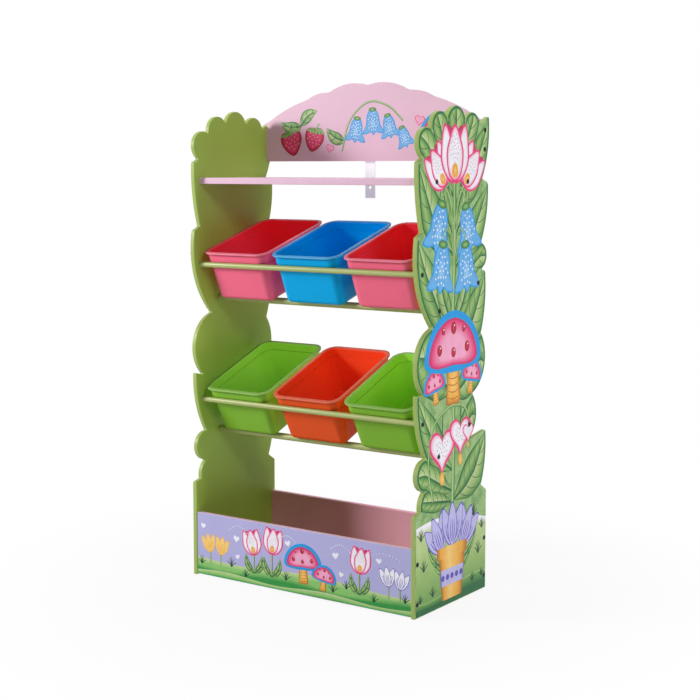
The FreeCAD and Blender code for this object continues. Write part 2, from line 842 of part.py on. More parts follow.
# A barrel nut starts below the face that it is let into.
upright = Rotation()
forward = Rotation(Vector(1, 0, 0), 90)
backward = Rotation(Vector(1, 0, 0), -90)
shelf_nut_z = shelf_underside + nut_sink(size("shelf_thickness"))
shelf_nuts = [(y, shelf_nut_z) for y, z in shelf_spots]
add_group("shelf_barrel_nuts", barrel_nut, nut_places(shelf_nuts, upright))
header_nut_y = header_rear - nut_sink(size("header_thickness"))
header_nuts = [(header_nut_y, z) for y, z in header_spots]
add_group("header_barrel_nuts", barrel_nut, nut_places(header_nuts, forward))
front_nuts = [(front_board_rear - nut_sink(board), z) for y, z in box_spots[:2]]
back_nuts = [(back_board_rear - board + nut_sink(board), z) for y, z in box_spots[2:]]
add_group("box_barrel_nuts", barrel_nut, nut_places(front_nuts, forward) + nut_places(back_nuts, backward))
strap_rear = header_rear + size("strap_thickness")
add_group("strap_screws", screw, [Placement(Vector(x.value, strap_rear.value, (header_base + z).value),
                                            backward) for x, z in screw_spots()])

doc.recompute()
for item in doc.Objects:
    if {"Invalid", "Error"} & set(item.State):
        raise RuntimeError(f"{item.Label} failed: {item.State}")
for item in sub_parts:
    if item.Shape.isNull() or not item.Shape.isValid():
        raise RuntimeError(f"{item.Label} has no valid shape")

os.makedirs("parts", exist_ok=True)
for item in sub_parts:
    item.Shape.exportStep(f"parts/{item.Label}.step")
    print(item.Label, len(item.Shape.Solids), round(item.Shape.Volume))
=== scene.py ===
# %% [markdown]
# # A toy organiser, dressed for its portrait
#
# The object is a stand of painted boards that carries six loose plastic bins over an open toy box.
# Its boards, rails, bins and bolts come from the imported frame, at their real size and place. This
# lesson adds what a frame can't show: paint, plastic, light, and the garden painted on the boards.
# Everything is in metres, with +Z up and the front towards -Y.

# %% Load the frame
import json
import math

import bmesh
import bpy
import numpy as np
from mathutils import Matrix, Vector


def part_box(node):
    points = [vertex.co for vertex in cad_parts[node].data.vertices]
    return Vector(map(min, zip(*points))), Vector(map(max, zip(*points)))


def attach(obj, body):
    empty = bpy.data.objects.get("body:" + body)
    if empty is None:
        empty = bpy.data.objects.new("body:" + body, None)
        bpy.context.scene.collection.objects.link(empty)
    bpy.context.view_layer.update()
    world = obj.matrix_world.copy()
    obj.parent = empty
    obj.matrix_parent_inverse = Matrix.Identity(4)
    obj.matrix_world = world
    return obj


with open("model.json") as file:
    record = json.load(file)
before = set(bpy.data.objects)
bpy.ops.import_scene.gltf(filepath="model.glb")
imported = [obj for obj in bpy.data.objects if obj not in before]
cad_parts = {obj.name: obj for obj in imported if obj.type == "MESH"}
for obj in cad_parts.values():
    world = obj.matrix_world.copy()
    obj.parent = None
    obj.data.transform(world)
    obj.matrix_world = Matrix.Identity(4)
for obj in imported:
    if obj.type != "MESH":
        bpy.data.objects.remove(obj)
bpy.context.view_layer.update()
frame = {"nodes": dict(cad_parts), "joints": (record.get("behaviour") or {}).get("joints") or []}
MM = 0.001

# %% [markdown]
# ## The camera
#
# The picture was taken from eye level with a long lens that looks slightly down, so that the upright
# edges spread a little towards the top. A small vertical shift does the rest of the framing.

# %% Camera
CAMERA_PLACE = (2.00567, -2.80485, 0.99383)
CAMERA_TURN = math.radians(35.047)
CAMERA_TILT = math.radians(-5.727)
CAMERA_LENS = 74.664  # mm
SENSOR_WIDTH = 36  # mm
CAMERA_SHIFT = -0.05  # a share of the picture's height


def put(name, data):
    """Put an object with its data into the scene."""
    item = bpy.data.objects.new(name, data)
    bpy.context.scene.collection.objects.link(item)
    return item


camera_data = bpy.data.cameras.new("camera")
camera_data.lens = CAMERA_LENS
camera_data.sensor_width = SENSOR_WIDTH
camera_data.shift_y = CAMERA_SHIFT
camera = put("camera", camera_data)
camera.location = CAMERA_PLACE
camera.rotation_euler = (math.pi / 2 + CAMERA_TILT, 0, CAMERA_TURN)
bpy.context.scene.camera = camera
print("camera:", CAMERA_LENS, "mm lens at", CAMERA_PLACE)

# %% [markdown]
# ## Shader sums in plain Python
#
# A finish is a small network of nodes. Wiring each by hand hides the idea, so one class wraps a
# socket: adding or multiplying two wrapped sockets adds the Math node that does it. Every other node
# comes from one method, which sets its options first and then its sockets.


# %% Signals and recipes
class Signal:
    """A socket whose value changes over a surface. Its sums and products add Math nodes."""

    def __init__(self, recipe, socket):
        self.recipe = recipe
        self.socket = socket

    def math(self, operation, *others):
        sockets = dict(enumerate((self, *others)))
        return self.recipe.node("Math", {"operation": operation}, sockets)

    def __add__(self, other):
        return self.math("ADD", other)

    def __mul__(self, other):
        return self.math("MULTIPLY", other)

    def __sub__(self, other):
        return self.math("SUBTRACT", other)

    def __rsub__(self, other):
        return self * -1 + other

    def between(self, low, high):
        """Low where the signal is 0, and high where it is 1."""
        return self * (high - low) + low


class Recipe:
    """A node tree under construction."""

    def __init__(self, tree):
        self.tree = tree

    def node(self, kind, settings=None, sockets=None, output=0):
        """Add a shader node: its settings first, then the values or links of its sockets."""
        made = self.tree.nodes.new(f"ShaderNode{kind}")
        for key, value in (settings or {}).items():
            setattr(made, key, value)
        for key, value in (sockets or {}).items():
            self.feed(made.inputs[key], value)
        return Signal(self, made.outputs[output])

    def feed(self, socket, value):
        """Link a signal to a socket, or set a plain value on it."""
        if isinstance(value, Signal):
            self.tree.links.new(value.socket, socket)
        else:
            socket.default_value = value

    def mix(self, factor, first, second, blend="MIX"):
        """A colour between two others."""
        settings = {"data_type": "RGBA", "blend_type": blend}
        return self.node("Mix", settings, {0: factor, 6: first, 7: second}, 2)

    def shaded(self, tint, shade):
        """A colour made darker or lighter by a signal."""
        return self.mix(1.0, tint, shade, "MULTIPLY")

    def step(self, value, low, high):
        """0 below low and 1 above high, with a soft climb between."""
        sockets = {"Value": value, "From Min": low, "From Max": high}
        return self.node("MapRange", {"interpolation_type": "SMOOTHSTEP"}, sockets)

    def place(self):
        """The point on the object, in its own coordinates."""
        return self.node("TexCoord", output="Object")

    def vector(self, operation, *values, output="Value"):
        """A sum on vectors."""
        return self.node("VectorMath", {"operation": operation}, dict(enumerate(values)), output)

    def part(self, axis, vector):
        """One of a vector's three parts."""
        return self.node("SeparateXYZ", None, {"Vector": vector}, axis)

    def noise(self, per_metre, detail=2, stretch=(1, 1, 1)):
        """Soft blotches about 0.5, so many to the metre, drawn out where the stretch is small."""
        point = self.node("Mapping", None, {"Vector": self.place(), "Scale": stretch})
        return self.node("TexNoise", None, {"Vector": point, "Scale": per_metre, "Detail": detail})


class Finish(Recipe):
    """A material whose Principled shader is fed by name."""

    def __init__(self, name):
        self.material = bpy.data.materials.new(name)
        self.material.use_nodes = True
        super().__init__(self.material.node_tree)
        self.shader = self.tree.nodes["Principled BSDF"]

    def set(self, sockets):
        for key, value in sockets.items():
            self.feed(self.shader.inputs[key], value)

    def coat(self, tint, shade, roughness):
        """Feed the shader a colour under a shade, and a roughness."""
        self.set({"Base Color": self.shaded(tint, shade), "Roughness": roughness})

    def bump(self, height, depth):
        """Tilt the surface by a height signal, with its full depth in metres."""
        self.set({"Normal": self.node("Bump", None, {"Height": height, "Distance": depth})})


def colour(red, green, blue):
    """An sRGB colour of 0 to 255 in linear light: ((c + 0.055) / 1.055) ** 2.4, or c / 12.92 if dark."""
    share = np.array((red, green, blue)) / 255
    linear = np.where(share > 0.04045, ((share + 0.055) / 1.055) ** 2.4, share / 12.92)
    return (*linear.tolist(), 1.0)


# %% [markdown]
# ## Floor, background and light
#
# A catalogue picture has a white ground and soft light from large panels. The floor is pale and takes
# the object's shadow. For camera rays it also glows a little, so that it melts into the white world
# without any more light falling on the object. One strong lamp stands at the front left, and the weak
# ones only open up the shade.

# %% Floor and world
FLOOR_REACH = 14.0
FLOOR_TONE = colour(226, 226, 226)
FLOOR_GLOW = 0.90
SHADOW_REACH = (0.45, 1.1)
WORLD_LIGHT = 0.14
WHITE = (1.0, 1.0, 1.0, 1.0)


def seen_directly(recipe):
    """1 for camera, mirror and glass rays, and 0 for the rays that carry light."""
    camera_ray, mirror_ray, glass_ray = (
        recipe.node("LightPath", output=f"Is {ray} Ray")
        for ray in ("Camera", "Glossy", "Transmission"))
    return camera_ray.math("MAXIMUM", mirror_ray).math("MAXIMUM", glass_ray)


def white_world():
    """White where it is looked at, and a soft even light everywhere else."""
    world = bpy.data.worlds.new("studio")
    world.use_nodes = True
    bpy.context.scene.world = world
    recipe = Recipe(world.node_tree)
    background = world.node_tree.nodes["Background"]
    recipe.feed(background.inputs["Color"], WHITE)
    recipe.feed(background.inputs["Strength"], seen_directly(recipe).between(WORLD_LIGHT, 1))


def floor_finish():
    """Pale matt paper that glows for the camera and keeps the shadow."""
    finish = Finish("studio_floor")
    finish.set({"Base Color": FLOOR_TONE, "Roughness": 0.9, "Specular IOR Level": 0.1})
    glow = finish.node("Emission", None, {"Color": WHITE})
    paper = Signal(finish, finish.shader.outputs[0])
    fade = finish.step(finish.vector("LENGTH", finish.place()), *SHADOW_REACH)
    share = seen_directly(finish) * fade.between(FLOOR_GLOW, 1)
    surface = finish.node("MixShader", None, {0: share, 1: paper, 2: glow})
    finish.feed(finish.tree.nodes["Material Output"].inputs["Surface"], surface)
    return finish.material


white_world()
floor_corners = FLOOR_REACH * np.array(((-1, -1, 0), (1, -1, 0), (1, 1, 0), (-1, 1, 0)))
floor_mesh = bpy.data.meshes.new("studio_floor")
floor_mesh.from_pydata(floor_corners.tolist(), [], [(0, 1, 2, 3)])
floor_mesh.materials.append(floor_finish())
floor = put("studio_floor", floor_mesh)
print("floor:", 2 * FLOOR_REACH, "m square")

# %% Softboxes
# name: place, side in metres, watts
SOFTBOXES = {
    "key_left": ((-2.6, -2.1, 1.8), 0.9, 107),
    "front_right": ((2.4, -1.5, 2.0), 0.6, 15),
    "right": ((2.8, 0.0, 0.8), 0.4, 29),
    "top": ((0.0, 0.4, 3.2), 1.0, 26),
    "rear": ((-0.8, 3.2, 0.6), 1.4, 24),
}
AIM = (0.0, 0.0, 0.62)


def softbox(name, place, side, power):
    """A square lamp that faces the middle of the object."""
    lamp = bpy.data.lights.new(name, "AREA")
    lamp.size = side
    lamp.energy = power
    item = put(name, lamp)
    item.location = place
    away = item.location - Vector(AIM)
    item.rotation_euler = away.to_track_quat("Z", "Y").to_euler()


for lamp_name, lamp_facts in SOFTBOXES.items():
    softbox(lamp_name, *lamp_facts)
print("softboxes:", ", ".join(SOFTBOXES))

# %% [markdown]
# ## Painted board
#
# The boards are fibreboard under sprayed paint. Sprayed paint isn't flat: it has a fine orange peel,
# and its gloss drifts a little from place to place. One function makes such a coat in any colour. The
# front of the toy box is masked: lilac on its face, and the header's pink on its edges and inside.

# %% Board paint
PEEL_DEPTH = 0.06 * MM
PAINT_SHEEN = 0.28
PINK_BOARD = colour(224, 184, 206)
ROSE_BOARD = colour(250, 180, 204)
LILAC_BOARD = colour(176, 174, 220)
MASK_EDGE = (0.3 * MM, 0.7 * MM)
front_low, front_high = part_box("box_front_board")


def sprayed(finish, tint):
    """Give a finish the drift, peel and gloss of sprayed paint over a colour or a colour signal."""
    drift = finish.noise(per_metre=9, detail=3)
    finish.coat(tint, drift.between(0.93, 1.07), drift.between(0.38, 0.50))
    finish.set({"Specular IOR Level": PAINT_SHEEN})
    finish.bump(finish.noise(per_metre=650), PEEL_DEPTH)
    return finish.material


def front_paint():
    """Lilac on the face that looks to the front, and pink behind it."""
    finish = Finish("front_board_paint")
    depth = finish.part("Y", finish.place())
    behind = finish.step(depth - front_low.y, *MASK_EDGE)
    return sprayed(finish, finish.mix(behind, LILAC_BOARD, PINK_BOARD))


pink_board = sprayed(Finish("pink_board_paint"), PINK_BOARD)
rose_board = sprayed(Finish("rose_board_paint"), ROSE_BOARD)
front_board = front_paint()
print("paints:", pink_board.name, rose_board.name, front_board.name)

# %% [markdown]
# ## The side panels' three coats
#
# Each panel is olive green inside, fresh green on its cut edges, and sponged sage green outside, where
# the garden is painted later. Three materials would need three sets of faces. One material tells the
# coats apart by the distance from the middle of the object, because every edge lies between the
# panel's two faces.

# %% Panel paint
panel_low, panel_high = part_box("side_panel_right")
PANEL_FACE = panel_high.x
EDGE_COAT = (panel_low.x + 0.6 * MM, panel_low.x + 1.4 * MM)  # where olive turns to the edge's green
OUTER_COAT = (PANEL_FACE - 1.2 * MM, PANEL_FACE - 0.4 * MM)  # where that turns to sage
OLIVE = colour(168, 200, 86)
EDGE_GREEN = colour(160, 180, 98)
SAGE = colour(158, 190, 128)
SAGE_DEEP = colour(104, 150, 84)
SAGE_PALE = colour(206, 220, 186)
SPONGE_DABS = (0.38, 0.66)  # the noise levels at which a dab starts and is full
SAGE_FLECKS = (0.55, 0.68)
FLECK_STRENGTH = 0.35


def panel_paint():
    """Olive inside, fresh green on the edges, and sage sponged over deeper green outside."""
    finish = Finish("panel_paint")
    distance = finish.part("X", finish.place()).math("ABSOLUTE")
    outside = finish.step(distance, *OUTER_COAT)
    beyond_inside = finish.step(distance, *EDGE_COAT)
    sponge = finish.step(finish.noise(per_metre=38, detail=4), *SPONGE_DABS)
    stipple = finish.noise(per_metre=520)
    flecks = finish.step(finish.noise(per_metre=300, detail=3), *SAGE_FLECKS)
    sage = finish.mix(sponge * 0.70 + stipple * 0.30, SAGE, SAGE_DEEP)
    sage = finish.mix(flecks * FLECK_STRENGTH, sage, SAGE_PALE)
    return sprayed(finish, finish.mix(outside, finish.mix(beyond_inside, OLIVE, EDGE_GREEN), sage))


panel_green = panel_paint()
print("panel face at x =", round(PANEL_FACE, 4))

# %% [markdown]
# ## Rails, floor board, strap and bolts
#
# The rails are turned dowels: under their paint the grain still shows as long faint streaks. The floor
# of the toy box is bare hardboard, brown and flecked. The wall strap is plain white plastic with a
# painted glow, and the bolts are blackened steel with a rubbed sheen.

# %% Rail, hardboard, strap and steel
RAIL_GREEN = colour(168, 178, 106)
GRAIN_STRETCH = (0.02, 1, 1)
GRAIN_DEPTH = 0.1 * MM
HARDBOARD = colour(150, 112, 76)
HARDBOARD_FLECK = colour(104, 74, 48)
BOARD_FLECKS = (0.52, 0.70)
FLECK_DEPTH = 0.08 * MM
STRAP_WHITE = colour(232, 232, 238)
# a painted glow: the strap gives off light, in place of the light that shines through it
STRAP_PAINTED_GLOW = 0.35
BLACK_STEEL = colour(58, 58, 62)
ZINC = colour(176, 178, 182)
RUB = 0.25


def rail_paint():
    """Paint over a dowel: streaks drawn out along the rail, raised as faint grain."""
    finish = Finish("rail_paint")
    grain = finish.noise(per_metre=420, detail=3, stretch=GRAIN_STRETCH)
    finish.coat(RAIL_GREEN, grain.between(0.88, 1.12), grain.between(0.30, 0.44))
    finish.bump(grain, GRAIN_DEPTH)
    return finish.material


def hardboard():
    """Pressed fibres: a brown ground with darker flecks, dry and matt."""
    finish = Finish("hardboard")
    flecks = finish.step(finish.noise(per_metre=900, detail=4), *BOARD_FLECKS)
    finish.set({"Base Color": finish.mix(flecks, HARDBOARD, HARDBOARD_FLECK), "Roughness": 0.72})
    finish.bump(flecks, FLECK_DEPTH)
    return finish.material


def strap_plastic():
    """White moulded strip, slightly cloudy, with a painted glow in place of the light behind it."""
    finish = Finish("strap_plastic")
    cloud = finish.noise(per_metre=120)
    finish.coat(STRAP_WHITE, cloud.between(0.95, 1.03), cloud.between(0.36, 0.46))
    # painted glow: light of its own, in place of light through the thin strip
    finish.set({"Emission Color": STRAP_WHITE, "Emission Strength": STRAP_PAINTED_GLOW})
    return finish.material


def steel(name, tint, gloss):
    """Metal whose sheen is rubbed unevenly."""
    finish = Finish(name)
    rub = finish.noise(per_metre=800, detail=3)
    finish.coat(tint, rub.between(0.8, 1.2), rub.between(gloss, gloss + RUB))
    finish.set({"Metallic": 1.0})
    return finish.material


rail_green = rail_paint()
floor_brown = hardboard()
strap_white = strap_plastic()
bolt_black = steel("blackened_steel", BLACK_STEEL, 0.25)
nut_zinc = steel("zinc_steel", ZINC, 0.22)
print("metals:", bolt_black.name, nut_zinc.name)

# %% [markdown]
# ## Bin plastic
#
# The bins are moulded polypropylene. It is evenly coloured and glossy, with a faint cloudiness and a
# very fine texture from the mould. The walls are thin, so daylight passes through them: the inside of
# a tub glows in a deeper colour than its front, and so do its shaded sides. Tracing light through
# walls would be slow, so that light is painted: the inside has a tint of its own and a painted glow,
# and the shaded sides share the glow. A face looks inwards where its normal points towards the middle
# of the tub. The thin lip gets a pale painted highlight, and painted shade darkens the outside just
# under the lip and under the band.

# %% Bin plastic
# colour: the outside's tint, the inside's painted tint, and the painted glow for light through the walls
BIN_TINTS = {
    "pink": ((242, 108, 138), (232, 66, 88), (226, 10, 14)),
    "blue": ((0, 166, 230), (0, 162, 228), (0, 120, 214)),
    "lime": ((130, 184, 56), (156, 212, 84), (146, 214, 52)),
    "orange": ((230, 84, 30), (232, 82, 44), (236, 40, 8)),
}
BIN_COLOURS = {
    "bin_upper_left": "pink",
    "bin_upper_middle": "blue",
    "bin_upper_right": "pink",
    "bin_lower_left": "lime",
    "bin_lower_middle": "orange",
    "bin_lower_right": "lime",
}
BLACK = (0.0, 0.0, 0.0, 1.0)
# the strength of a painted glow: the walls give off light, in place of light through them
BIN_PAINTED_GLOW = 0.22
GLOW_RISE = (-0.06, 0.10)  # heights over the tub's middle between which the glow grows
# painted glow on the outside's shaded sides
SIDEWAYS = (0.6, 0.95)  # the normal's part along x at which a side starts to glow, and glows in full
INWARDS = (-0.01, 0.01)
LIP_LEVEL = -4.0 * MM  # from the rim down to the underside of the lip
BAND_LEVEL = -24.0 * MM
# painted shade just under the lip and under the band: how far it reaches, how sharp its top is, how dark
CREASE_REACH = 9.0 * MM
CREASE_SHARP = 0.4 * MM
CREASE_SHADE = 0.34
# painted highlight: the lip is mixed this far towards white
RIM_HIGHLIGHT = 0.09
MOULD_DEPTH = 0.03 * MM
PLASTIC_IOR = 1.49
PLASTIC_SHEEN = 0.08


def points_of(item):
    """An object's vertices, as rows of x, y and z."""
    flat = np.empty(3 * len(item.data.vertices), np.float32)
    item.data.vertices.foreach_get("co", flat)
    return flat.reshape(-1, 3)


def level_in(finish, node_name):
    """How far a point lies below a tub's rim, along the axis on which the tub lifts out."""
    axis = next(joint["axis"] for joint in frame["joints"] if joint["child"] == node_name)
    rim = float((points_of(frame["nodes"][node_name]) @ axis).max())
    return finish.vector("DOT_PRODUCT", finish.place(), axis) - rim


def shade_below_edge(finish, level, edge):
    """Where shade is painted: 1 just under an edge at a given level, fading out below it."""
    above = finish.step(level, edge, edge + CREASE_SHARP)
    return finish.step(level, edge - CREASE_REACH, edge) * (1 - above)


def bin_plastic(node_name, outer, inner, painted_glow_tint):
    """Glossy moulded plastic: an outer tint and a painted inner tint, a painted highlight on the lip,
    painted shade under the lip and the band, a painted glow for light through the walls, a cloud of
    tone and a fine mould texture."""
    finish = Finish(f"{node_name}_plastic")
    low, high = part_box(node_name)
    normal = finish.node("TexCoord", output="Normal")
    away = finish.vector("SUBTRACT", finish.place(), (low + high) / 2, output="Vector")
    outside = finish.step(finish.vector("DOT_PRODUCT", normal, away), *INWARDS)
    level = level_in(finish, node_name)
    # a painted highlight on the lip
    lip_highlight = finish.step(level, LIP_LEVEL, LIP_LEVEL + CREASE_SHARP)
    # the inside's tint is painted, in place of light in the tub
    tint = finish.mix(lip_highlight * RIM_HIGHLIGHT, finish.mix(outside, inner, outer), WHITE)
    # painted shade on the outside under the lip and under the band
    painted_crease_shade = shade_below_edge(finish, level, LIP_LEVEL) + shade_below_edge(finish, level, BAND_LEVEL)
    tint = finish.shaded(tint, (painted_crease_shade * outside).between(1, 1 - CREASE_SHADE))
    # a painted glow, stronger towards the rim and on the outside, in place of light through the walls
    rise = finish.step(finish.part("Z", away), *GLOW_RISE)
    glow = finish.shaded(painted_glow_tint, rise.between(0.1, 1.3) + outside * 0.5)
    # outside, only the sides that face along x keep the painted glow
    sideways = finish.step(finish.part("X", normal).math("ABSOLUTE"), *SIDEWAYS)
    glow = finish.mix(outside * (1 - sideways), glow, BLACK)
    finish.set({"Emission Color": glow, "Emission Strength": BIN_PAINTED_GLOW})
    cloud = finish.noise(per_metre=14)
    grain = finish.noise(per_metre=1500)
    finish.coat(tint, cloud.between(0.94, 1.06), grain.between(0.14, 0.22) + cloud * 0.06)
    finish.set({"IOR": PLASTIC_IOR, "Specular IOR Level": PLASTIC_SHEEN})
    finish.bump(grain, MOULD_DEPTH)
    return finish.material


plastics = {}
for bin_name, tone in BIN_COLOURS.items():
    plastics[bin_name] = bin_plastic(bin_name, *(colour(*tint) for tint in BIN_TINTS[tone]))
print("plastics:", ", ".join(plastics))

# %% [markdown]
# ## Dress the frame
#
# Every node of the frame keeps its mesh and gets the finish of the real piece. A table of name parts
# is enough, because the nodes are named for what they are. The cross dowels of the toy box are painted
# over with its boards.

# %% Dress the nodes
NODE_FINISHES = {
    "side_panel": panel_green,
    "header_board": pink_board,
    "top_shelf": pink_board,
    "box_back_board": rose_board,
    "box_front_board": front_board,
    "box_floor": floor_brown,
    "_rail": rail_green,
    "wall_strap": strap_white,
    "_bolts": bolt_black,
    "box_barrel_nuts": rose_board,
    "_nuts": nut_zinc,
    "inserts": nut_zinc,
    "screws": nut_zinc,
    **plastics,
}


def dress(node_name, item):
    """Give a node the finish whose key its name contains."""
    finish = next(finish for key, finish in NODE_FINISHES.items() if key in node_name)
    item.data.materials.clear()
    item.data.materials.append(finish)


for node_name, item in frame["nodes"].items():
    dress(node_name, item)
print("dressed:", len(frame["nodes"]), "nodes")

# %% [markdown]
# ## Films of paint
#
# The garden on the boards is painted through stencils, so each shape is a thin film with an edge of
# its own, and every film lies a little above those painted before it. A picture file would be quicker,
# but films stay sharp from any distance and belong to the mesh. Two kinds of film draw everything: a
# blob fills a closed outline from its middle, and a strip fills the gap between two lines. Both take
# their colours by name from one palette.

# %% Curves
def spline(points, count, closed=False):
    """A smooth line through points: each span is a cubic, and the slope at a point is half the step
    from the point before it to the point after it."""
    knots = np.asarray(points, float)
    before = knots[-1:] if closed else 2 * knots[:1] - knots[1:2]
    after = knots[:2] if closed else 2 * knots[-1:] - knots[-2:-1]
    knots = np.vstack((before, knots, after))
    spans = len(knots) - 3
    t = np.linspace(0, spans, count, endpoint=not closed)
    span = np.minimum(t.astype(int), spans - 1)
    s = (t - span)[:, None]
    a, b, c, d = (knots[span + step] for step in range(4))
    return b + s / 2 * (c - a + s * (2 * a - 5 * b + 4 * c - d + s * (3 * (b - c) + d - a)))


def arc(first, middle, last, count):
    """The circle through three points, from the first over the middle to the last.

    With the points as complex numbers a, b, c and w = (c - a) / (b - a), its centre is
    a + (b - a) (w - |w|^2) / (2i Im w).
    """
    a, b, c = (complex(*point) for point in (first, middle, last))
    w = (c - a) / (b - a)
    centre = a + (b - a) * (w - abs(w) ** 2) / (2j * w.imag)
    way = 1 if w.imag > 0 else -1
    sweep = way * (way * np.angle((c - centre) / (a - centre)) % (2 * math.pi))
    turned = centre + (a - centre) * np.exp(1j * sweep * np.linspace(0, 1, count))
    return np.column_stack((turned.real, turned.imag))


def oval(x, y, half_width, half_height, count=28):
    """An ellipse about (x, y): (x + a cos t, y + b sin t)."""
    t = np.arange(count) * 2 * math.pi / count
    return np.column_stack((x + half_width * np.cos(t), y + half_height * np.sin(t)))


def evenly(points, count):
    """The same line with evenly spaced points, by interpolation over its length."""
    steps = np.linalg.norm(np.diff(points, axis=0), axis=1)
    length = np.concatenate(((0,), np.cumsum(steps)))
    places = np.linspace(0, length[-1], count)
    return np.column_stack([np.interp(places, length, column) for column in points.T])


def edges(spine, half_width):
    """The two lines at a distance w(t) either side of a spine P(t): P - w N and P + w N."""
    slope = np.gradient(spine, axis=0)
    normal = np.column_stack((-slope[:, 1], slope[:, 0])) / np.linalg.norm(slope, axis=1)[:, None]
    reach = np.broadcast_to(half_width, len(spine))[:, None] * normal
    return spine - reach, spine + reach


def drawn_in(outline, distance):
    """A closed outline C drawn in towards its hub H: C - d (C - H) / |C - H|."""
    away = outline - outline.mean(0)
    return outline - distance * away / np.linalg.norm(away, axis=1)[:, None]


def sunflower(count):
    """Evenly spread points in a unit disc: point k lies at radius sqrt(k / n), one golden angle on."""
    k = np.arange(count) + 0.5
    angle = k * math.pi * (3 - math.sqrt(5))
    return (np.sqrt(k / count) * np.array((np.cos(angle), np.sin(angle)))).T


# %% Palette
PALETTE = {
    "rose": (226, 62, 122),
    "deep_rose": (186, 34, 92),
    "blush": (240, 166, 198),
    "petal": (240, 238, 247),
    "cherry": (172, 26, 52),
    "sky": (104, 172, 228),
    "pale_sky": (150, 200, 238),
    "azure": (24, 150, 220),
    "ochre": (234, 166, 58),
    "sand": (244, 204, 120),
    "umber": (168, 104, 44),
    "lilac": (190, 186, 232),
    "violet": (94, 82, 182),
    "leaf_pale": (190, 208, 150),
    "leaf": (156, 188, 114),
    "leaf_mid": (98, 152, 76),
    "leaf_deep": (28, 100, 54),
    "ink": (24, 66, 46),
    "grass": (134, 192, 106),
    "green": (48, 144, 64),
    "cloud": (222, 224, 244),
}


def stops(*pairs):
    """Colour stops from pairs of a share and a palette name."""
    return tuple((share, colour(*PALETTE[name])) for share, name in pairs)


def plain(name):
    """The stops of one colour from end to end."""
    return stops((0, name), (1, name))


print("palette:", len(PALETTE), "colours")

# %% Films
LAYER = 0.006 * MM
FILM_EDGE = 0.03  # the share of a film's width over which its edge drops to the board
DOT_SIDES = 12
LINE_POINTS = 14
LINE_TIP = 0.04


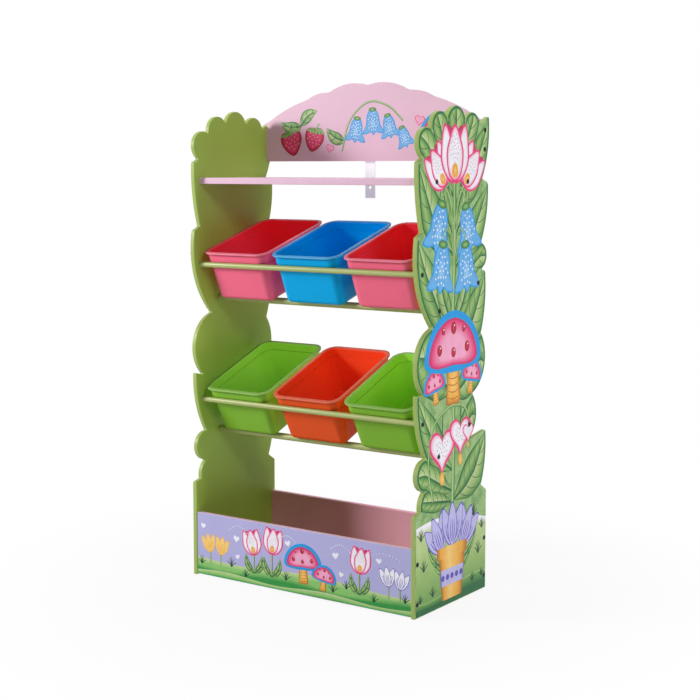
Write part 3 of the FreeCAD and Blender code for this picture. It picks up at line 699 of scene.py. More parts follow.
class Paint:
    """A picture in a flat plane, painted film over film. A point is (across, up, height), in metres."""

    def __init__(self, layer=0):
        self.points, self.tints, self.faces = [], [], []
        self.layer, self.total = layer, 0

    def over(self):
        """The height of a new layer, over all that is painted."""
        self.layer += 1
        return self.layer * LAYER

    def keep(self, points, tints, *face_groups):
        """Add one film's points and colours, and its faces, counted from its first point."""
        self.points.append(points)
        self.tints.append(tints)
        for group in face_groups:
            self.faces += (np.asarray(group) + self.total).tolist()
        self.total += len(points)

    def blob(self, outline, shades, height=None):
        """Fill an outline C: hub + r (C - hub), with r from 0 to 1 and a colour at each stop of r.

        The rim drops to the board, where a fan closes the film underneath.
        """
        height = height or self.over()
        hub = outline.mean(0)
        shades = (*shades[:-1], (1 - FILM_EDGE, shades[-1][1]), shades[-1])
        shares = np.array([share for share, _ in shades[1:]])
        count, rings = len(outline), len(shares)
        flat = (hub + shares[:, None, None] * (outline - hub)).reshape(-1, 2)
        level = np.repeat(np.where(np.arange(rings) < rings - 1, height, 0), count)
        points = np.vstack(((*hub, height), np.column_stack((flat, level)), (*hub, 0)))
        tints = np.array([tint for _, tint in shades])
        tints = np.vstack((tints[:1], np.repeat(tints[1:], count, axis=0), tints[-1:]))
        here = np.arange(count)
        on = (here + 1) % count
        top = np.column_stack((np.zeros(count, int), 1 + here, 1 + on))
        ring = 1 + count * np.arange(rings - 1)[:, None]
        sides = np.stack((ring + here, ring + count + here, ring + count + on, ring + on), -1)
        rim = 1 + count * (rings - 1)
        under = np.column_stack((np.full(count, len(points) - 1), rim + on, rim + here))
        self.keep(points, tints, top, sides.reshape(-1, 4), under)

    def rimmed(self, outline, rim, shades, width):
        """An outline filled with a rim colour, and over it a film drawn in by the rim's width."""
        self.blob(outline, plain(rim))
        self.blob(drawn_in(outline, width), shades)

    def strip(self, left, right, shades, height=None, fade=1.0):
        """Fill between two lines A and B: A + s (B - A), with s from 0 to 1 and a colour at each stop.

        Both long edges drop to the board, so the section is closed, and fade dims it along its length.
        """
        height = height or self.over()
        tints = np.array([shades[0][1], *[tint for _, tint in shades], shades[-1][1]])
        shares = np.array([0, FILM_EDGE, *[share for share, _ in shades[1:-1]], 1 - FILM_EDGE, 1])
        count, across = len(left), len(shares)
        flat = left[:, None] + shares[None, :, None] * (right - left)[:, None]
        level = np.full((count, across), height)
        level[:, (0, -1)] = 0
        points = np.column_stack((flat.reshape(-1, 2), level.ravel()))
        dimmed = np.broadcast_to(fade, count)[:, None, None] * np.array((1, 1, 1, 0)) + (0, 0, 0, 1)
        row = across * np.arange(count - 1)[:, None]
        here = np.arange(across)
        on = (here + 1) % across
        sides = np.stack((row + here, row + on, row + across + on, row + across + here), -1)
        ends = np.array((here, here + across * (count - 1)))
        self.keep(points, (tints[None] * dimmed).reshape(-1, 4), sides.reshape(-1, 4), ends)

    def lines(self, paths, width, tint):
        """Thin strokes with fine tips, each through a few points, all in one layer."""
        height = self.over()
        taper = np.sqrt(np.sin(math.pi * np.linspace(LINE_TIP, 1 - LINE_TIP, LINE_POINTS)))
        for path in paths:
            self.strip(*edges(spline(path, LINE_POINTS), width / 2 * taper), plain(tint), height)

    def dots(self, centres, radius, tint):
        """Equal round dots, all in one layer."""
        height = self.over()
        for centre in centres:
            self.blob(oval(*centre, radius, radius, DOT_SIDES), plain(tint), height)

    def lay(self, name, to_board, finish):
        """Make the picture a mesh on a board, whose function turns (across, up, height) into x, y, z."""
        mesh = bpy.data.meshes.new(name)
        mesh.from_pydata(to_board(*np.vstack(self.points).T).tolist(), [], self.faces)
        pigment = mesh.attributes.new("paint", "FLOAT_COLOR", "POINT")
        pigment.data.foreach_set("color", np.vstack(self.tints).astype(np.float32).ravel())
        shell = bmesh.new()
        shell.from_mesh(mesh)
        bmesh.ops.recalc_face_normals(shell, faces=shell.faces)
        shell.to_mesh(mesh)
        shell.free()
        mesh.materials.append(finish)
        piece = put(name, mesh)
        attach(piece, "frame")
        print(name, "-", len(mesh.polygons), "faces, up to layer", self.layer)


# %% [markdown]
# ## Brush paint
#
# The films carry their colour in the mesh. The finish only adds what a brush and a sponge leave: a
# stipple of lighter and darker specks, broad drifts of tone, and a satin skin with fine ridges. On the
# panels the paint also stops round each bolt head. Cutting holes in hundreds of films would be slow,
# so the finish is made clear there, at places that are measured on the frame's own bolts.

# %% Brush paint
HEAD_RADIUS = 5.5 * MM
HEAD_CLEAR = (HEAD_RADIUS + 0.1 * MM, HEAD_RADIUS + 0.5 * MM)


def bolt_centres():
    """The middles of the bolt heads on the right panel, from the points that stand out of its face."""
    heads = np.vstack([points_of(item) for name, item in frame["nodes"].items() if name.endswith("_bolts")])
    heads = heads[heads[:, 0] > PANEL_FACE][:, 1:]
    centres = []
    while len(heads):
        near = np.linalg.norm(heads - heads[0], axis=1) < 3 * HEAD_RADIUS
        centres.append((heads[near].min(0) + heads[near].max(0)) / 2)
        heads = heads[~near]
    return centres


def brushed(name, holes=()):
    """Colour from the film, stippled and drifting, under a satin skin, and clear over the holes."""
    finish = Finish(name)
    pigment = finish.node("Attribute", {"attribute_name": "paint"})
    stipple = finish.noise(per_metre=700, detail=3)
    drift = finish.noise(per_metre=45, detail=3)
    finish.coat(pigment, stipple.between(0.70, 1.04) + drift * 0.26, stipple.between(0.34, 0.50))
    finish.set({"Specular IOR Level": PAINT_SHEEN})
    finish.bump(stipple, PEEL_DEPTH)
    if holes:
        flat = finish.node("Mapping", None, {"Vector": finish.place(), "Scale": (0, 1, 1)})
        cover = 1.0
        for y, z in holes:
            cover = finish.step(finish.vector("DISTANCE", flat, (0, y, z)), *HEAD_CLEAR) * cover
        finish.set({"Alpha": cover})
    return finish.material


bolt_places = bolt_centres()
panel_brush = brushed("panel_brush_paint", bolt_places)
board_brush = brushed("board_brush_paint")
print("bolt heads on a panel:", len(bolt_places))

# %% [markdown]
# ## Motifs
#
# The picture uses a few plain garden motifs: tulips, bellflowers, toadstools, hearts on a bowed stem,
# strawberries, crocuses in a pot, leaves and grass. Each is drawn once, in shares of its own size, and
# set down as often as needed through a small frame of place, size and turn.

# %% A motif's frame
class Spot:
    """A motif's own frame on the board: its foot, its size in metres and its turn in degrees."""

    def __init__(self, across, up, size, turn=0):
        self.foot = np.array((across, up))
        self.size = size
        c, s = math.cos(math.radians(turn)), math.sin(math.radians(turn))
        self.axes = size * np.array(((c, s), (-s, c)))

    def __call__(self, shares):
        """Points given in shares of the motif's size, as points on the board."""
        return self.foot + np.asarray(shares, float) @ self.axes

    def turned(self, turn):
        """The same frame turned further about its foot."""
        other = Spot(*self.foot, self.size)
        other.axes = Spot(0, 0, 1.0, turn).axes @ self.axes
        return other


def spots(rows, up=0.0):
    """Frames from rows of across, up, size and any turn, in millimetres over a given level."""
    return [Spot(across * MM, rise * MM + up, size * MM, *turn) for across, rise, size, *turn in rows]


def in_mm(points):
    """Points given in millimetres."""
    return np.multiply(points, MM)


def mirrored(shares):
    """Shares flipped from left to right."""
    return [(-x, y) for x, y in shares]


def both_halves(half):
    """A closed outline from its left half, whose first and last points lie on the axis."""
    return (*half, *mirrored(half[-2:0:-1]))


# %% Leaves, stems and grass
LEAF_STOPS = stops(
    (0, "leaf_deep"), (0.08, "leaf_mid"), (0.24, "leaf"), (0.40, "leaf_mid"), (0.50, "leaf_deep"),
    (0.53, "leaf_pale"), (0.74, "leaf"), (0.92, "leaf_mid"), (1, "leaf_deep"))
LEAF_ROWS = 30
LEAF_TIP = 0.1 * MM
RIB_WIDTH = 7 * MM
VEIN_WIDTH = 1.8 * MM
VEIN_ROOTS = (0.18, 0.74)  # where the first and the last vein leave the midrib
VEIN_RUN = 0.14
STEM_STOPS = stops((0, "leaf_deep"), (0.3, "leaf_mid"), (0.6, "leaf_pale"), (1, "leaf_mid"))
STEM_POINTS = 40
TUFT_TIPS = ((-0.55, 0.55), (-0.25, 0.85), (0.02, 1.0), (0.3, 0.8), (0.6, 0.5))


def leaf(paint, left, right, veins=5):
    """A leaf between its two sides, from base to tip: light and dark halves, a midrib along the middle
    and veins that curve from the midrib to the sides."""
    t = np.linspace(0, 1, LEAF_ROWS)
    spine = (left + right) / 2
    paint.strip(left, right, LEAF_STOPS, fade=0.80 + 0.25 * t)
    if veins:
        rib = min(RIB_WIDTH, 0.07 * np.linalg.norm(spine[-1] - spine[0]))
        paint.strip(*edges(spine[:-2], rib / 2 * (1 - 0.85 * t[:-2])), plain("leaf_deep"))
        paths = []
        for place in np.linspace(*VEIN_ROOTS, veins):
            root, end = int(place * (LEAF_ROWS - 1)), int((place + VEIN_RUN) * (LEAF_ROWS - 1))
            for side in (left, right):
                bend = 0.5 * (spine[root] + side[end]) + 0.12 * (spine[root] - spine[end])
                paths.append((spine[root], bend, 0.12 * spine[end] + 0.88 * side[end]))
        paint.lines(paths, min(VEIN_WIDTH, 0.4 * rib), "ink")


def blade(paint, base, tip, bow, half_width, veins):
    """A plain leaf: its spine bows sideways by a share of its length, and its half width follows
    sin(pi t ** 0.8) ** 0.9."""
    base, tip = np.asarray(base), np.asarray(tip)
    t = np.linspace(0, 1, LEAF_ROWS)
    along = tip - base
    aside = np.array((-along[1], along[0]))
    spine = base + t[:, None] * along + bow * np.sin(math.pi * t)[:, None] * aside
    leaf(paint, *edges(spine, half_width * np.sin(math.pi * t ** 0.8) ** 0.9 + LEAF_TIP), veins)


def stem(paint, points, width):
    """A stalk along a few points, light on one side and dark on the other."""
    paint.strip(*edges(spline(points, STEM_POINTS), width / 2), STEM_STOPS)


def tufts(paint, feet):
    """Tufts of grass, each five blades that fan out from one foot."""
    for lean, tall in TUFT_TIPS:
        blades = [spot([(0.1 * lean, 0), (0.35 * lean, 0.5 * tall), (lean, tall)]) for spot in feet]
        paint.lines(blades, 0.1 * feet[0].size, "ink")


# %% Tulip
TULIP_SIDE_SHARES = (
    (0.02, 0.0), (-0.26, 0.07), (-0.45, 0.36), (-0.42, 0.76), (-0.32, 0.98), (-0.16, 0.78), (-0.05, 0.4))
TULIP_FRONT_SHARES = both_halves(((0.0, 0.0), (-0.21, 0.14), (-0.28, 0.5), (-0.14, 0.82), (0.0, 0.97)))
TULIP_RIM = 0.042


def tulip(paint, spot):
    """A cup of petals: two behind, two at the sides and one in front, white with a rose rim."""
    behind = stops((0, "deep_rose"), (0.7, "rose"), (1, "deep_rose"))
    skin = stops((0, "petal"), (0.75, "petal"), (1, "blush"))
    for turn in (-13, 13):
        paint.blob(spline(spot.turned(turn)(TULIP_FRONT_SHARES), 48, True), behind)
    for shares in (TULIP_SIDE_SHARES, mirrored(TULIP_SIDE_SHARES), TULIP_FRONT_SHARES):
        paint.rimmed(spline(spot(shares), 56, True), "rose", skin, TULIP_RIM * spot.size)
    paint.blob(spot(oval(0, 0.2, 0.1, 0.13)), stops((0, "sand"), (0.6, "ochre"), (1, "ochre")))
    paint.dots(spot(sunflower(26) * (0.16, 0.24) + (0, 0.58)), 0.01 * spot.size, "deep_rose")


# %% Bellflower
BELL_SHARES = both_halves((
    (0.0, 1.0), (-0.16, 0.95), (-0.28, 0.72), (-0.33, 0.4), (-0.5, 0.1), (-0.3, 0.06), (-0.12, 0.12),
    (0.0, 0.0)))
BELL_RIM = 0.04


def bellflower(paint, spot):
    """A bell with a flared, pointed mouth, white dots, and a green cap of sepals."""
    skin = stops((0, "pale_sky"), (0.5, "sky"), (1, "sky"))
    paint.rimmed(spline(spot(BELL_SHARES), 70, True), "azure", skin, BELL_RIM * spot.size)
    folds = [spot([(0.05 * lean, 0.92), (0.13 * lean, 0.6), (0.13 * lean, 0.2)]) for lean in (-1, 1)]
    paint.lines(folds, 0.024 * spot.size, "azure")
    paint.dots(spot(sunflower(24) * (0.24, 0.38) + (0, 0.5)), 0.022 * spot.size, "petal")
    paint.blob(spot(oval(0, 0.97, 0.17, 0.085)), stops((0, "leaf"), (0.5, "leaf_mid"), (1, "leaf_deep")))


# %% Toadstool
STALK_SHARES = (
    (-0.13, 0.02), (0.0, 0.0), (0.13, 0.02), (0.12, 0.24), (0.09, 0.5), (-0.09, 0.5), (-0.12, 0.24))
STALK_RINGS = (0.08, 0.15, 0.22, 0.29)
CAP_SHARES = (
    (-0.56, 0.46), (-0.5, 0.68), (-0.3, 0.89), (0.0, 0.98), (0.3, 0.89), (0.5, 0.68), (0.56, 0.46),
    (0.44, 0.37), (0.2, 0.34), (0.0, 0.33), (-0.2, 0.34), (-0.44, 0.37))
CAP_RIM = 0.075
CAP_MARKS = (  # across, up and half width
    (-0.27, 0.58, 0.05), (0.0, 0.79, 0.056), (0.27, 0.58, 0.05), (0.0, 0.54, 0.046), (-0.2, 0.77, 0.034),
    (0.2, 0.77, 0.034))


def toadstool(paint, spot):
    """A domed cap with an azure border and cherry marks, on a stout sand-coloured stalk."""
    paint.blob(spline(spot(STALK_SHARES), 40, True), stops((0, "sand"), (0.7, "ochre"), (1, "umber")))
    rings = [spot([(-0.1, level), (0, level - 0.02), (0.1, level)]) for level in STALK_RINGS]
    paint.lines(rings, 0.012 * spot.size, "umber")
    skin = stops((0, "blush"), (0.5, "blush"), (0.86, "rose"), (1, "deep_rose"))
    paint.rimmed(spline(spot(CAP_SHARES), 72, True), "azure", skin, CAP_RIM * spot.size)
    height = paint.over()
    for x, y, size in CAP_MARKS:
        mark = stops((0, "rose"), (0.3, "cherry"), (1, "cherry"))
        paint.blob(spot(oval(x, y, size, 1.2 * size, 20)), mark, height)
    glints = [spot((x + 0.3 * size, y + 0.5 * size)) for x, y, size in CAP_MARKS]
    paint.dots(glints, 0.01 * spot.size, "petal")


# %% Heart
HEART_RIM = 0.06


def heart(paint, spot, rim="rose", skin=("petal", "blush"), drop=True):
    """A heart, with or without a drop below it: x = 16 sin^3 t and
    y = 13 cos t - 5 cos 2t - 2 cos 3t - cos 4t."""
    t = (np.arange(64) + 0.5) * 2 * math.pi / 64
    y = 13 * np.cos(t) - 5 * np.cos(2 * t) - 2 * np.cos(3 * t) - np.cos(4 * t)
    outline = np.column_stack((16 * np.sin(t) ** 3, y)) / 34
    pale, flush = skin
    paint.rimmed(spot(outline), rim, stops((0, pale), (0.7, pale), (1, flush)), HEART_RIM * spot.size)
    if drop:
        paint.blob(spot(oval(0, -0.56, 0.08, 0.13, 20)), stops((0, "sand"), (1, "ochre")))
        paint.dots(spot(sunflower(22) * 0.22 + (0, 0.04)), 0.013 * spot.size, "deep_rose")


# %% Strawberry
STRAWBERRY_SHARES = both_halves(((0.0, 0.0), (-0.24, 0.16), (-0.42, 0.5), (-0.34, 0.78), (0.0, 0.82)))


def strawberry(paint, spot):
    """A plump berry with pale seeds under a cap of five small leaves."""
    skin = stops((0, "rose"), (0.7, "rose"), (0.9, "cherry"), (1, "cherry"))
    paint.blob(spline(spot(STRAWBERRY_SHARES), 40, True), skin)
    paint.dots(spot(sunflower(17) * 0.31 + (0, 0.47)), 0.022 * spot.size, "sand")
    for lean in (-0.42, 0.42, -0.22, 0.22, 0.0):
        base, tip = spot([(0, 0.84), (lean, 0.62 + 0.2 * abs(lean))])
        blade(paint, base, tip, 0.08, 0.08 * spot.size, 0)
    stem(paint, spot([(0, 0.82), (0.02, 0.94), (0.1, 1.04)]), 0.05 * spot.size)


# %% Crocus and pot
CROCUS_SHARES = both_halves(((0.0, 0.0), (-0.16, 0.2), (-0.2, 0.56), (0.0, 1.0)))
POT_WALLS = (((-0.3, 0.0), (-0.4, 0.66)), ((-0.46, 0.66), (-0.47, 0.84)), ((-0.34, 0.22), (-0.37, 0.48)))


def crocus(paint, spot, skin=("lilac", "violet")):
    """Three slim petals that open from one foot, streaked from below."""
    pale, deep = skin
    for turn in (-24, 24, 0):
        petal = spot.turned(turn)
        paint.rimmed(spline(petal(CROCUS_SHARES), 40, True), deep, plain(pale), 0.03 * spot.size)
        streaks = [petal([(0.4 * lean, 0.1), (lean, 0.34), (0.8 * lean, 0.6)]) for lean in (-0.08, 0, 0.08)]
        paint.lines(streaks, 0.03 * spot.size, deep)


def flower_pot(paint, spot):
    """A tapered pot with a rim, and a lilac band with violet dots."""
    clay = stops((0, "umber"), (0.14, "ochre"), (0.4, "sand"), (0.8, "ochre"), (1, "umber"))
    glaze = stops((0, "violet"), (0.08, "lilac"), (0.92, "lilac"), (1, "violet"))
    for wall, shades in zip(POT_WALLS, (clay, clay, glaze)):
        paint.strip(spot(wall), spot(mirrored(wall)), shades)
    row = np.column_stack((np.linspace(-0.27, 0.27, 5), np.full(5, 0.35)))
    paint.dots(spot(row), 0.05 * spot.size, "violet")


# %% [markdown]
# ## The garden on the side panels
#
# Each panel's edge is a row of lobes, and every lobe is the end of a painted leaf, so the two sides of
# such a leaf are taken from the lobe itself. Three tulips stand in the crown, with bellflowers below
# them, toadstools, a bowed stem of hearts, and a pot of crocuses on the meadow at the foot. A soft dark
# stroke follows every lobe, as a painter shades an edge. The left panel has the mirror image.

# %% Panel edge
BOX_TOP = 231 * MM
EDGE_STROKE = (1.6 * MM, 8 * MM)
LOBE_POINTS = 40
# The corners of the panel's edge, as shares of the half depth and of the height above the box. Where a
# lobe ends at a corner, the lobe's middle stands before it in the row.
PANEL_EDGE_SHARES = (
    (-1.00, 0.000), (-0.86, 0.006), (-0.85, 0.034, -0.73, 0.056), (-0.97, 0.095, -0.72, 0.135),
    (-0.90, 0.200, -0.97, 0.298), (-0.74, 0.286), (-0.98, 0.377, -0.56, 0.456),
    (-0.87, 0.530, -0.97, 0.680), (-0.84, 0.691), (-0.93, 0.755, -0.97, 0.860), (-0.84, 0.871),
    (-0.97, 0.905, -0.61, 0.936), (-0.50, 0.980, -0.20, 0.966), (0.05, 1.000, 0.30, 0.964),
    (0.51, 0.986, 0.71, 0.957), (0.98, 0.978), (0.97, 0.900, 0.80, 0.820), (0.97, 0.810),
    (0.94, 0.730, 0.78, 0.657), (0.95, 0.625, 0.71, 0.590), (0.91, 0.584), (0.92, 0.510, 0.80, 0.425),
    (0.93, 0.352, 0.56, 0.272), (0.68, 0.215, 0.42, 0.152), (0.96, 0.168), (0.96, 0.098, 0.84, 0.026),
    (1.00, 0.008),
)


def panel_point(shares):
    """A point of the panel's edge from its shares."""
    return np.array((shares[0] * panel_high.y, BOX_TOP + shares[1] * (panel_high.z - BOX_TOP)))


def panel_lobes():
    """The points of each lobe: the circle from one corner over the lobe's middle to the next corner."""
    corners = [panel_point(row[-2:]) for row in PANEL_EDGE_SHARES]
    middles = [row[:-2] for row in PANEL_EDGE_SHARES[1:]]
    return [arc(first, panel_point(middle), last, LOBE_POINTS)
            for middle, first, last in zip(middles, corners, corners[1:]) if middle]


def inside_lobe(lobe, inset):
    """A lobe's line drawn in by an inset, and left open at the corners."""
    return edges(lobe, inset)[0][1:-1]


def edge_strokes(paint):
    """A dark stroke inside each lobe, from one inset to another, fading to the leaves. Neighbours lie
    in two layers."""
    shades = stops((0, "leaf_deep"), (0.5, "leaf_deep"), (1, "leaf_mid"))
    levels = (paint.over(), paint.over())
    for number, lobe in enumerate(lobes):
        outer, inner = (inside_lobe(lobe, inset) for inset in EDGE_STROKE)
        paint.strip(outer, inner, shades, levels[number % 2])


lobes = panel_lobes()
print("panel edge:", len(lobes), "lobes")

# %% Panel leaves
# for each lobe from the front foot over the crown to the rear foot: where its leaf starts on the stem,
# in millimetres, and the leaf's tip as a share of the way along the lobe
LOBE_LEAVES = (
    (238, 0.5), (262, 0.5), (310, 1.0), (490, 0.55), (620, 1.0), (800, 1.0), (930, 0.5), (960, 0.5),
    (970, 0.5), (960, 0.5), (900, 0.0), (770, 0.0), (720, 0.5), (590, 0.0), (480, 0.5), (370, 0.5),
    (240, 0.0))
LEAF_INSET = 2.4 * MM
SIDE_BULGE = 0.1
SIDE_POINTS = 14
# the base and the tip in millimetres, the bow and half the width in millimetres
INNER_LEAVES = (
    ((0, 640), (-62, 800), 0.1, 26), ((0, 640), (66, 796), -0.1, 26), ((0, 840), (-50, 980), 0.1, 24),
    ((0, 840), (52, 980), -0.1, 24))
MAIN_STEM = ((0, 0.2), (0.004, 0.4), (-0.004, 0.62), (0.003, 0.82), (0, 1.0))


def lobe_leaf(paint, lobe, start, tip_share):
    """A leaf whose sides run from the stem along the two parts of a lobe to the leaf's tip."""
    inner = inside_lobe(lobe, LEAF_INSET)
    tip = round(tip_share * (len(inner) - 1))
    base = np.array((0.0, start * MM))
    axis = inner[tip] - base
    aside = SIDE_BULGE * np.array((-axis[1], axis[0]))
    sides = []
    for bulge, part in ((aside, inner[:tip + 1]), (-aside, inner[tip:][::-1])):
        reach = spline((base, 0.5 * (base + part[0]) + bulge, part[0]), SIDE_POINTS)
        sides.append(evenly(np.vstack((reach[:-1], part)), LEAF_ROWS))
    leaf(paint, *sides)


def panel_leaves(paint):
    """A leaf for every lobe, lowest last, then small leaves along the stem, and the stem."""
    order = sorted(zip(lobes, LOBE_LEAVES), key=lambda pair: -pair[1][0])
    for lobe, (start, tip_share) in order:
        lobe_leaf(paint, lobe, start, tip_share)
    for base, tip, bow, half_width in INNER_LEAVES:
        blade(paint, in_mm(base), in_mm(tip), bow, half_width * MM, 4)
    stem(paint, MAIN_STEM, 14 * MM)


# %% Panel flowers
PANEL_TULIPS = ((-38, 956, 106, 38), (40, 956, 110, -40), (1, 964, 136, 0))
PANEL_BELLS = ((-80, 808, 116, -14), (72, 804, 112, 12), (-60, 716, 116, -6), (60, 712, 116, 6))
PANEL_TOADSTOOLS = ((74, 478, 86, -10), (-72, 470, 86, 10), (0, 462, 222, 0))
PANEL_HEARTS = ((-46, 442, 122), (34, 456, 106), (68, 424, 54))  # across, the stalk's top, and size
HEART_BOW = ((-84, 252), (-104, 334), (-84, 420), (-16, 458), (46, 452), (68, 424))


def panel_tulips(paint):
    """Three tulips that fan out in the crown."""
    for spot in spots(PANEL_TULIPS):
        stem(paint, [(0.0, 0.86), 0.5 * spot.foot + (0.0, 0.45), spot.foot], 8 * MM)
        tulip(paint, spot)


def panel_bells(paint):
    """Bellflowers that hang in two pairs from bowed stalks."""
    for spot in spots(PANEL_BELLS):
        cap, crook = spot([(0, 1.0), (0, 1.16)])
        stem(paint, [(0.0, 0.78), (0.4 * crook[0], crook[1] + 0.012), crook, cap], 4.5 * MM)
        bellflower(paint, spot)


def panel_toadstools(paint):
    """A large toadstool between two small ones."""
    for spot in spots(PANEL_TOADSTOOLS):
        toadstool(paint, spot)


def panel_hearts(paint):
    """A bowed stem of hanging hearts, largest near its root."""
    stem(paint, in_mm(HEART_BOW), 7 * MM)
    for across, top, size in PANEL_HEARTS:
        spot = Spot(across * MM, (top - 0.62 * size) * MM, size * MM)
        paint.lines([spot([(0, 0.2), (0.01, 0.45), (0, 0.64)])], 3.4 * MM, "leaf_deep")
        heart(paint, spot)


# %% Panel meadow
PANEL_TUFTS = (
    (-134, 172, 30), (96, 186, 30), (134, 150, 26), (-122, 100, 30), (118, 92, 32),
    (-84, 34, 26), (92, 30, 26), (134, 34, 22), (-136, 30, 22), (-84, 148, 22))
POT_LEAVES = (((-112, 176), 0.2), ((114, 180), -0.2), ((-84, 120), 0.24), ((88, 122), -0.24))
POT_CROCUSES = ((-44, 126, 100, 26), (44, 126, 100, -26), (0, 134, 106, 0))


def panel_meadow(paint):
    """The foot of the panel: two rolling bands of grass, tufts, and a pot of crocuses."""
    across = np.linspace(panel_low.y + LEAF_INSET, panel_high.y - LEAF_INSET, 40)
    far = BOX_TOP - (46 - 26 * np.cos(9 * across + 0.6)) * MM
    near = (40 + 12 * np.sin(16 * across)) * MM
    ground = np.column_stack((across, np.full_like(across, LEAF_INSET)))
    fresh = stops((0, "leaf_mid"), (0.5, "leaf"), (0.9, "leaf_pale"), (1, "petal"))
    rich = stops((0, "leaf_deep"), (0.4, "leaf_deep"), (0.8, "leaf_mid"), (1, "leaf"))
    paint.strip(ground, np.column_stack((across, far)), fresh)
    paint.strip(ground, np.column_stack((across, near)), rich)
    tufts(paint, spots(PANEL_TUFTS))
    for tip, bow in POT_LEAVES:
        blade(paint, (0, 0.09), in_mm(tip), bow, 10 * MM, 3)
    for spot in spots(POT_CROCUSES):
        stem(paint, [(0.3 * spot.foot[0], 0.1), 0.5 * spot.foot + (0.0, 0.055), spot.foot], 6 * MM)
        crocus(paint, spot)
    flower_pot(paint, Spot(0, 14 * MM, 148 * MM))


# %% Lay the panels' picture
# motif: its first layer, and what draws it
PANEL_PICTURE = {
    "leaves": (0, panel_leaves),
    "edge_strokes": (68, edge_strokes),
    "tulips": (70, panel_tulips),
    "bellflowers": (96, panel_bells),
    "toadstools": (70, panel_toadstools),
    "heart_stem": (70, panel_hearts),
    "meadow": (70, panel_meadow),
}


def on_panel(side):
    """The outer face of one panel: across runs to the rear, and height stands out from the face."""
    return lambda across, up, height: np.column_stack((side * (PANEL_FACE + height), across, up))


for motif, (layer, draw) in PANEL_PICTURE.items():
    picture = Paint(layer)
    draw(picture)
    for side_name, side in (("left", -1), ("right", 1)):
        picture.lay(f"{side_name}_panel_{motif}", on_panel(side), panel_brush)

# %% [markdown]
# ## The header and the front of the toy box
#
# The pink header carries a loose sprig, berries and a toadstool. The lilac front has bands of grass
# along its foot, with flowers standing in them and small white hearts and dots in the air. Both boards
# face the front, so one function puts either picture in its place.

# %% Header picture
header_low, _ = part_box("header_board")
HEADER_SPRIGS = (((-200, 88), (-266, 98)), ((-200, 88), (-150, 124)), ((-66, 50), (-122, 82)))
HEADER_BERRIES = ((-222, 14, 78, 14), (-170, 24, 70, -16))
HEADER_STEM = ((-76, 24), (-52, 98), (2, 142), (60, 132), (104, 96))
HEADER_BELLS = ((-38, 44, 62, -8), (18, 62, 64, 3), (70, 54, 58, 12), (116, 32, 52, 20))
HEADER_TUFTS = ((176, 14, 22, 10), (232, 14, 22, -10))
HEADER_TOADSTOOL = ((204, 14, 104, -4),)
HEADER_HEARTS = ((150, 96, 30, -12), (156, 40, 22, 16), (270, 56, 24, 10), (-112, 32, 26, -14))


def on_front(face):
    """A face that looks to the front, at a given y: across runs along x."""
    return lambda across, up, height: np.column_stack((across, face - height, up))


def header_picture(paint):
    """Berries on the left, a sprig of bells in the middle, hearts and a toadstool on the right."""
    low = header_low.z
    lift = np.array((0, low))
    for base, tip in HEADER_SPRIGS:
        blade(paint, in_mm(base) + lift, in_mm(tip) + lift, 0.14, 16 * MM, 3)
    for spot in spots(HEADER_BERRIES, low):
        strawberry(paint, spot)
    stem(paint, in_mm(HEADER_STEM) + lift, 5 * MM)
    for spot in spots(HEADER_BELLS, low):
        bellflower(paint, spot)
    tufts(paint, spots(HEADER_TUFTS, low))
    toadstool(paint, *spots(HEADER_TOADSTOOL, low))
    for spot in spots(HEADER_HEARTS, low):
        heart(paint, spot, "rose", ("blush", "blush"), False)


header_paint = Paint()
header_picture(header_paint)
header_paint.lay("header_picture", on_front(header_low.y), board_brush)

# %% Box front picture
FRONT_MARGIN = 0.5 * MM
FRONT_TUFTS = (
    (-298, 26, 22), (-204, 32, 26), (-160, 14, 20), (-38, 26, 24), (98, 20, 24),
    (136, 34, 22), (212, 16, 22), (296, 28, 22))
GOLD, MAUVE = ("sand", "ochre"), ("petal", "violet")
FRONT_CROCUSES = ((-270, 58, 48, 12), (-238, 56, 48, -10), (252, 58, 48, 8), (282, 56, 46, -10))
FRONT_TULIPS = ((-134, 72, 64, 12), (-80, 82, 66, -6), (172, 76, 64, -6))
FRONT_TOADSTOOLS = ((14, 26, 98, 3), (68, 18, 64, -8))
FRONT_HEARTS = (
    (-188, 104, 20, -9), (-32, 116, 18, 13), (106, 108, 20, 6), (226, 114, 17, 1), (-292, 122, 17, -7),
    (122, 66, 15, -15), (-184, 60, 15, 11))
DOT_TRAILS = ((-214, -152, 16), (-60, -8, 14), (90, 150, 15), (196, 286, 12))  # start, end and rise


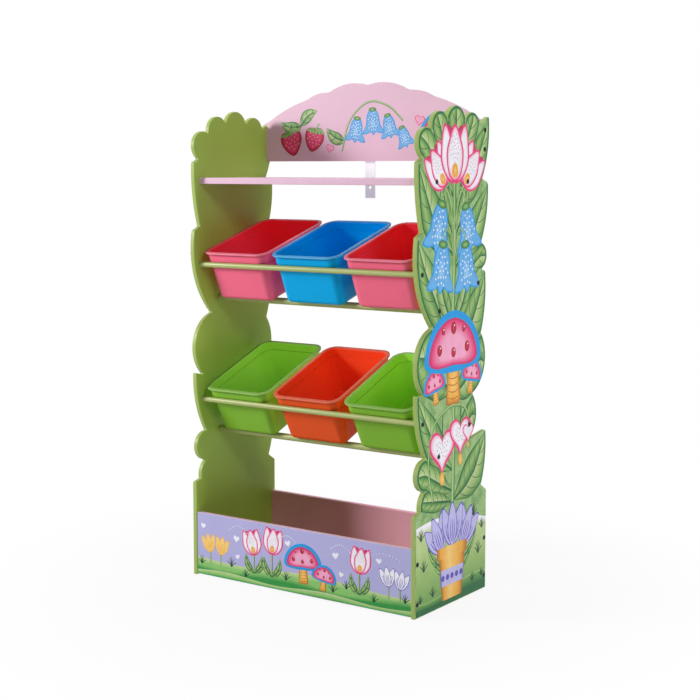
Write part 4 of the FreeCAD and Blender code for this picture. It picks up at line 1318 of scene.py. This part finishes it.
def grass_bands(paint, low, reach):
    """Three wavy bands of grass, each in front of the last."""
    across = np.linspace(-reach, reach, 90)
    ground = np.column_stack((across, np.full_like(across, low)))
    bands = (
        (44 + 6 * np.sin(13 * across + 1.0), stops((0, "grass"), (0.7, "grass"), (1, "leaf_pale"))),
        (27 + 6 * np.sin(17 * across + 2.4), stops((0, "green"), (0.6, "green"), (1, "grass"))),
        (12 + 4 * np.sin(21 * across), stops((0, "green"), (0.4, "grass"), (1, "leaf_pale"))))
    for rise, shades in bands:
        paint.strip(ground, np.column_stack((across, low + rise * MM)), shades)


def front_picture(paint):
    """Grass along the foot, with crocuses, tulips and toadstools, under small hearts and dots."""
    low = front_low.z + FRONT_MARGIN
    grass_bands(paint, low, front_high.x - FRONT_MARGIN)
    tufts(paint, spots(FRONT_TUFTS, low))
    for spot, skin in zip(spots(FRONT_CROCUSES, low), (GOLD, GOLD, MAUVE, MAUVE)):
        stem(paint, [(spot.foot[0], low + 30 * MM), spot.foot], 4 * MM)
        crocus(paint, spot, skin)
    for spot in spots(FRONT_TULIPS, low):
        root = np.array((spot.foot[0], low + 28 * MM))
        stem(paint, [root, spot.foot], 4.5 * MM)
        for side in (-1, 1):
            blade(paint, root, root + in_mm((24 * side, 46)), -0.16 * side, 9 * MM, 3)
        tulip(paint, spot)
    for spot in spots(FRONT_TOADSTOOLS, low):
        toadstool(paint, spot)
    for spot in spots(FRONT_HEARTS, low):
        heart(paint, spot, "cloud", ("petal", "petal"), False)
    trail = np.linspace(0.05, 0.95, 10)
    for start, end, rise in DOT_TRAILS:
        path = np.column_stack((start + (end - start) * trail, 120 + rise * np.sin(math.pi * trail)))
        paint.dots(in_mm(path) + (0, low), 1.7 * MM, "cloud")


front_picture_paint = Paint()
front_picture(front_picture_paint)
front_picture_paint.lay("box_front_picture", on_front(front_low.y), board_brush)

# %% [markdown]
# ## Finish
#
# Paint has next to no thickness, so the dressed object should fill the same box as the bare frame.
# The colours are shown in the plain Standard view.

# %% Finish
bpy.context.scene.view_settings.view_transform = "Standard"
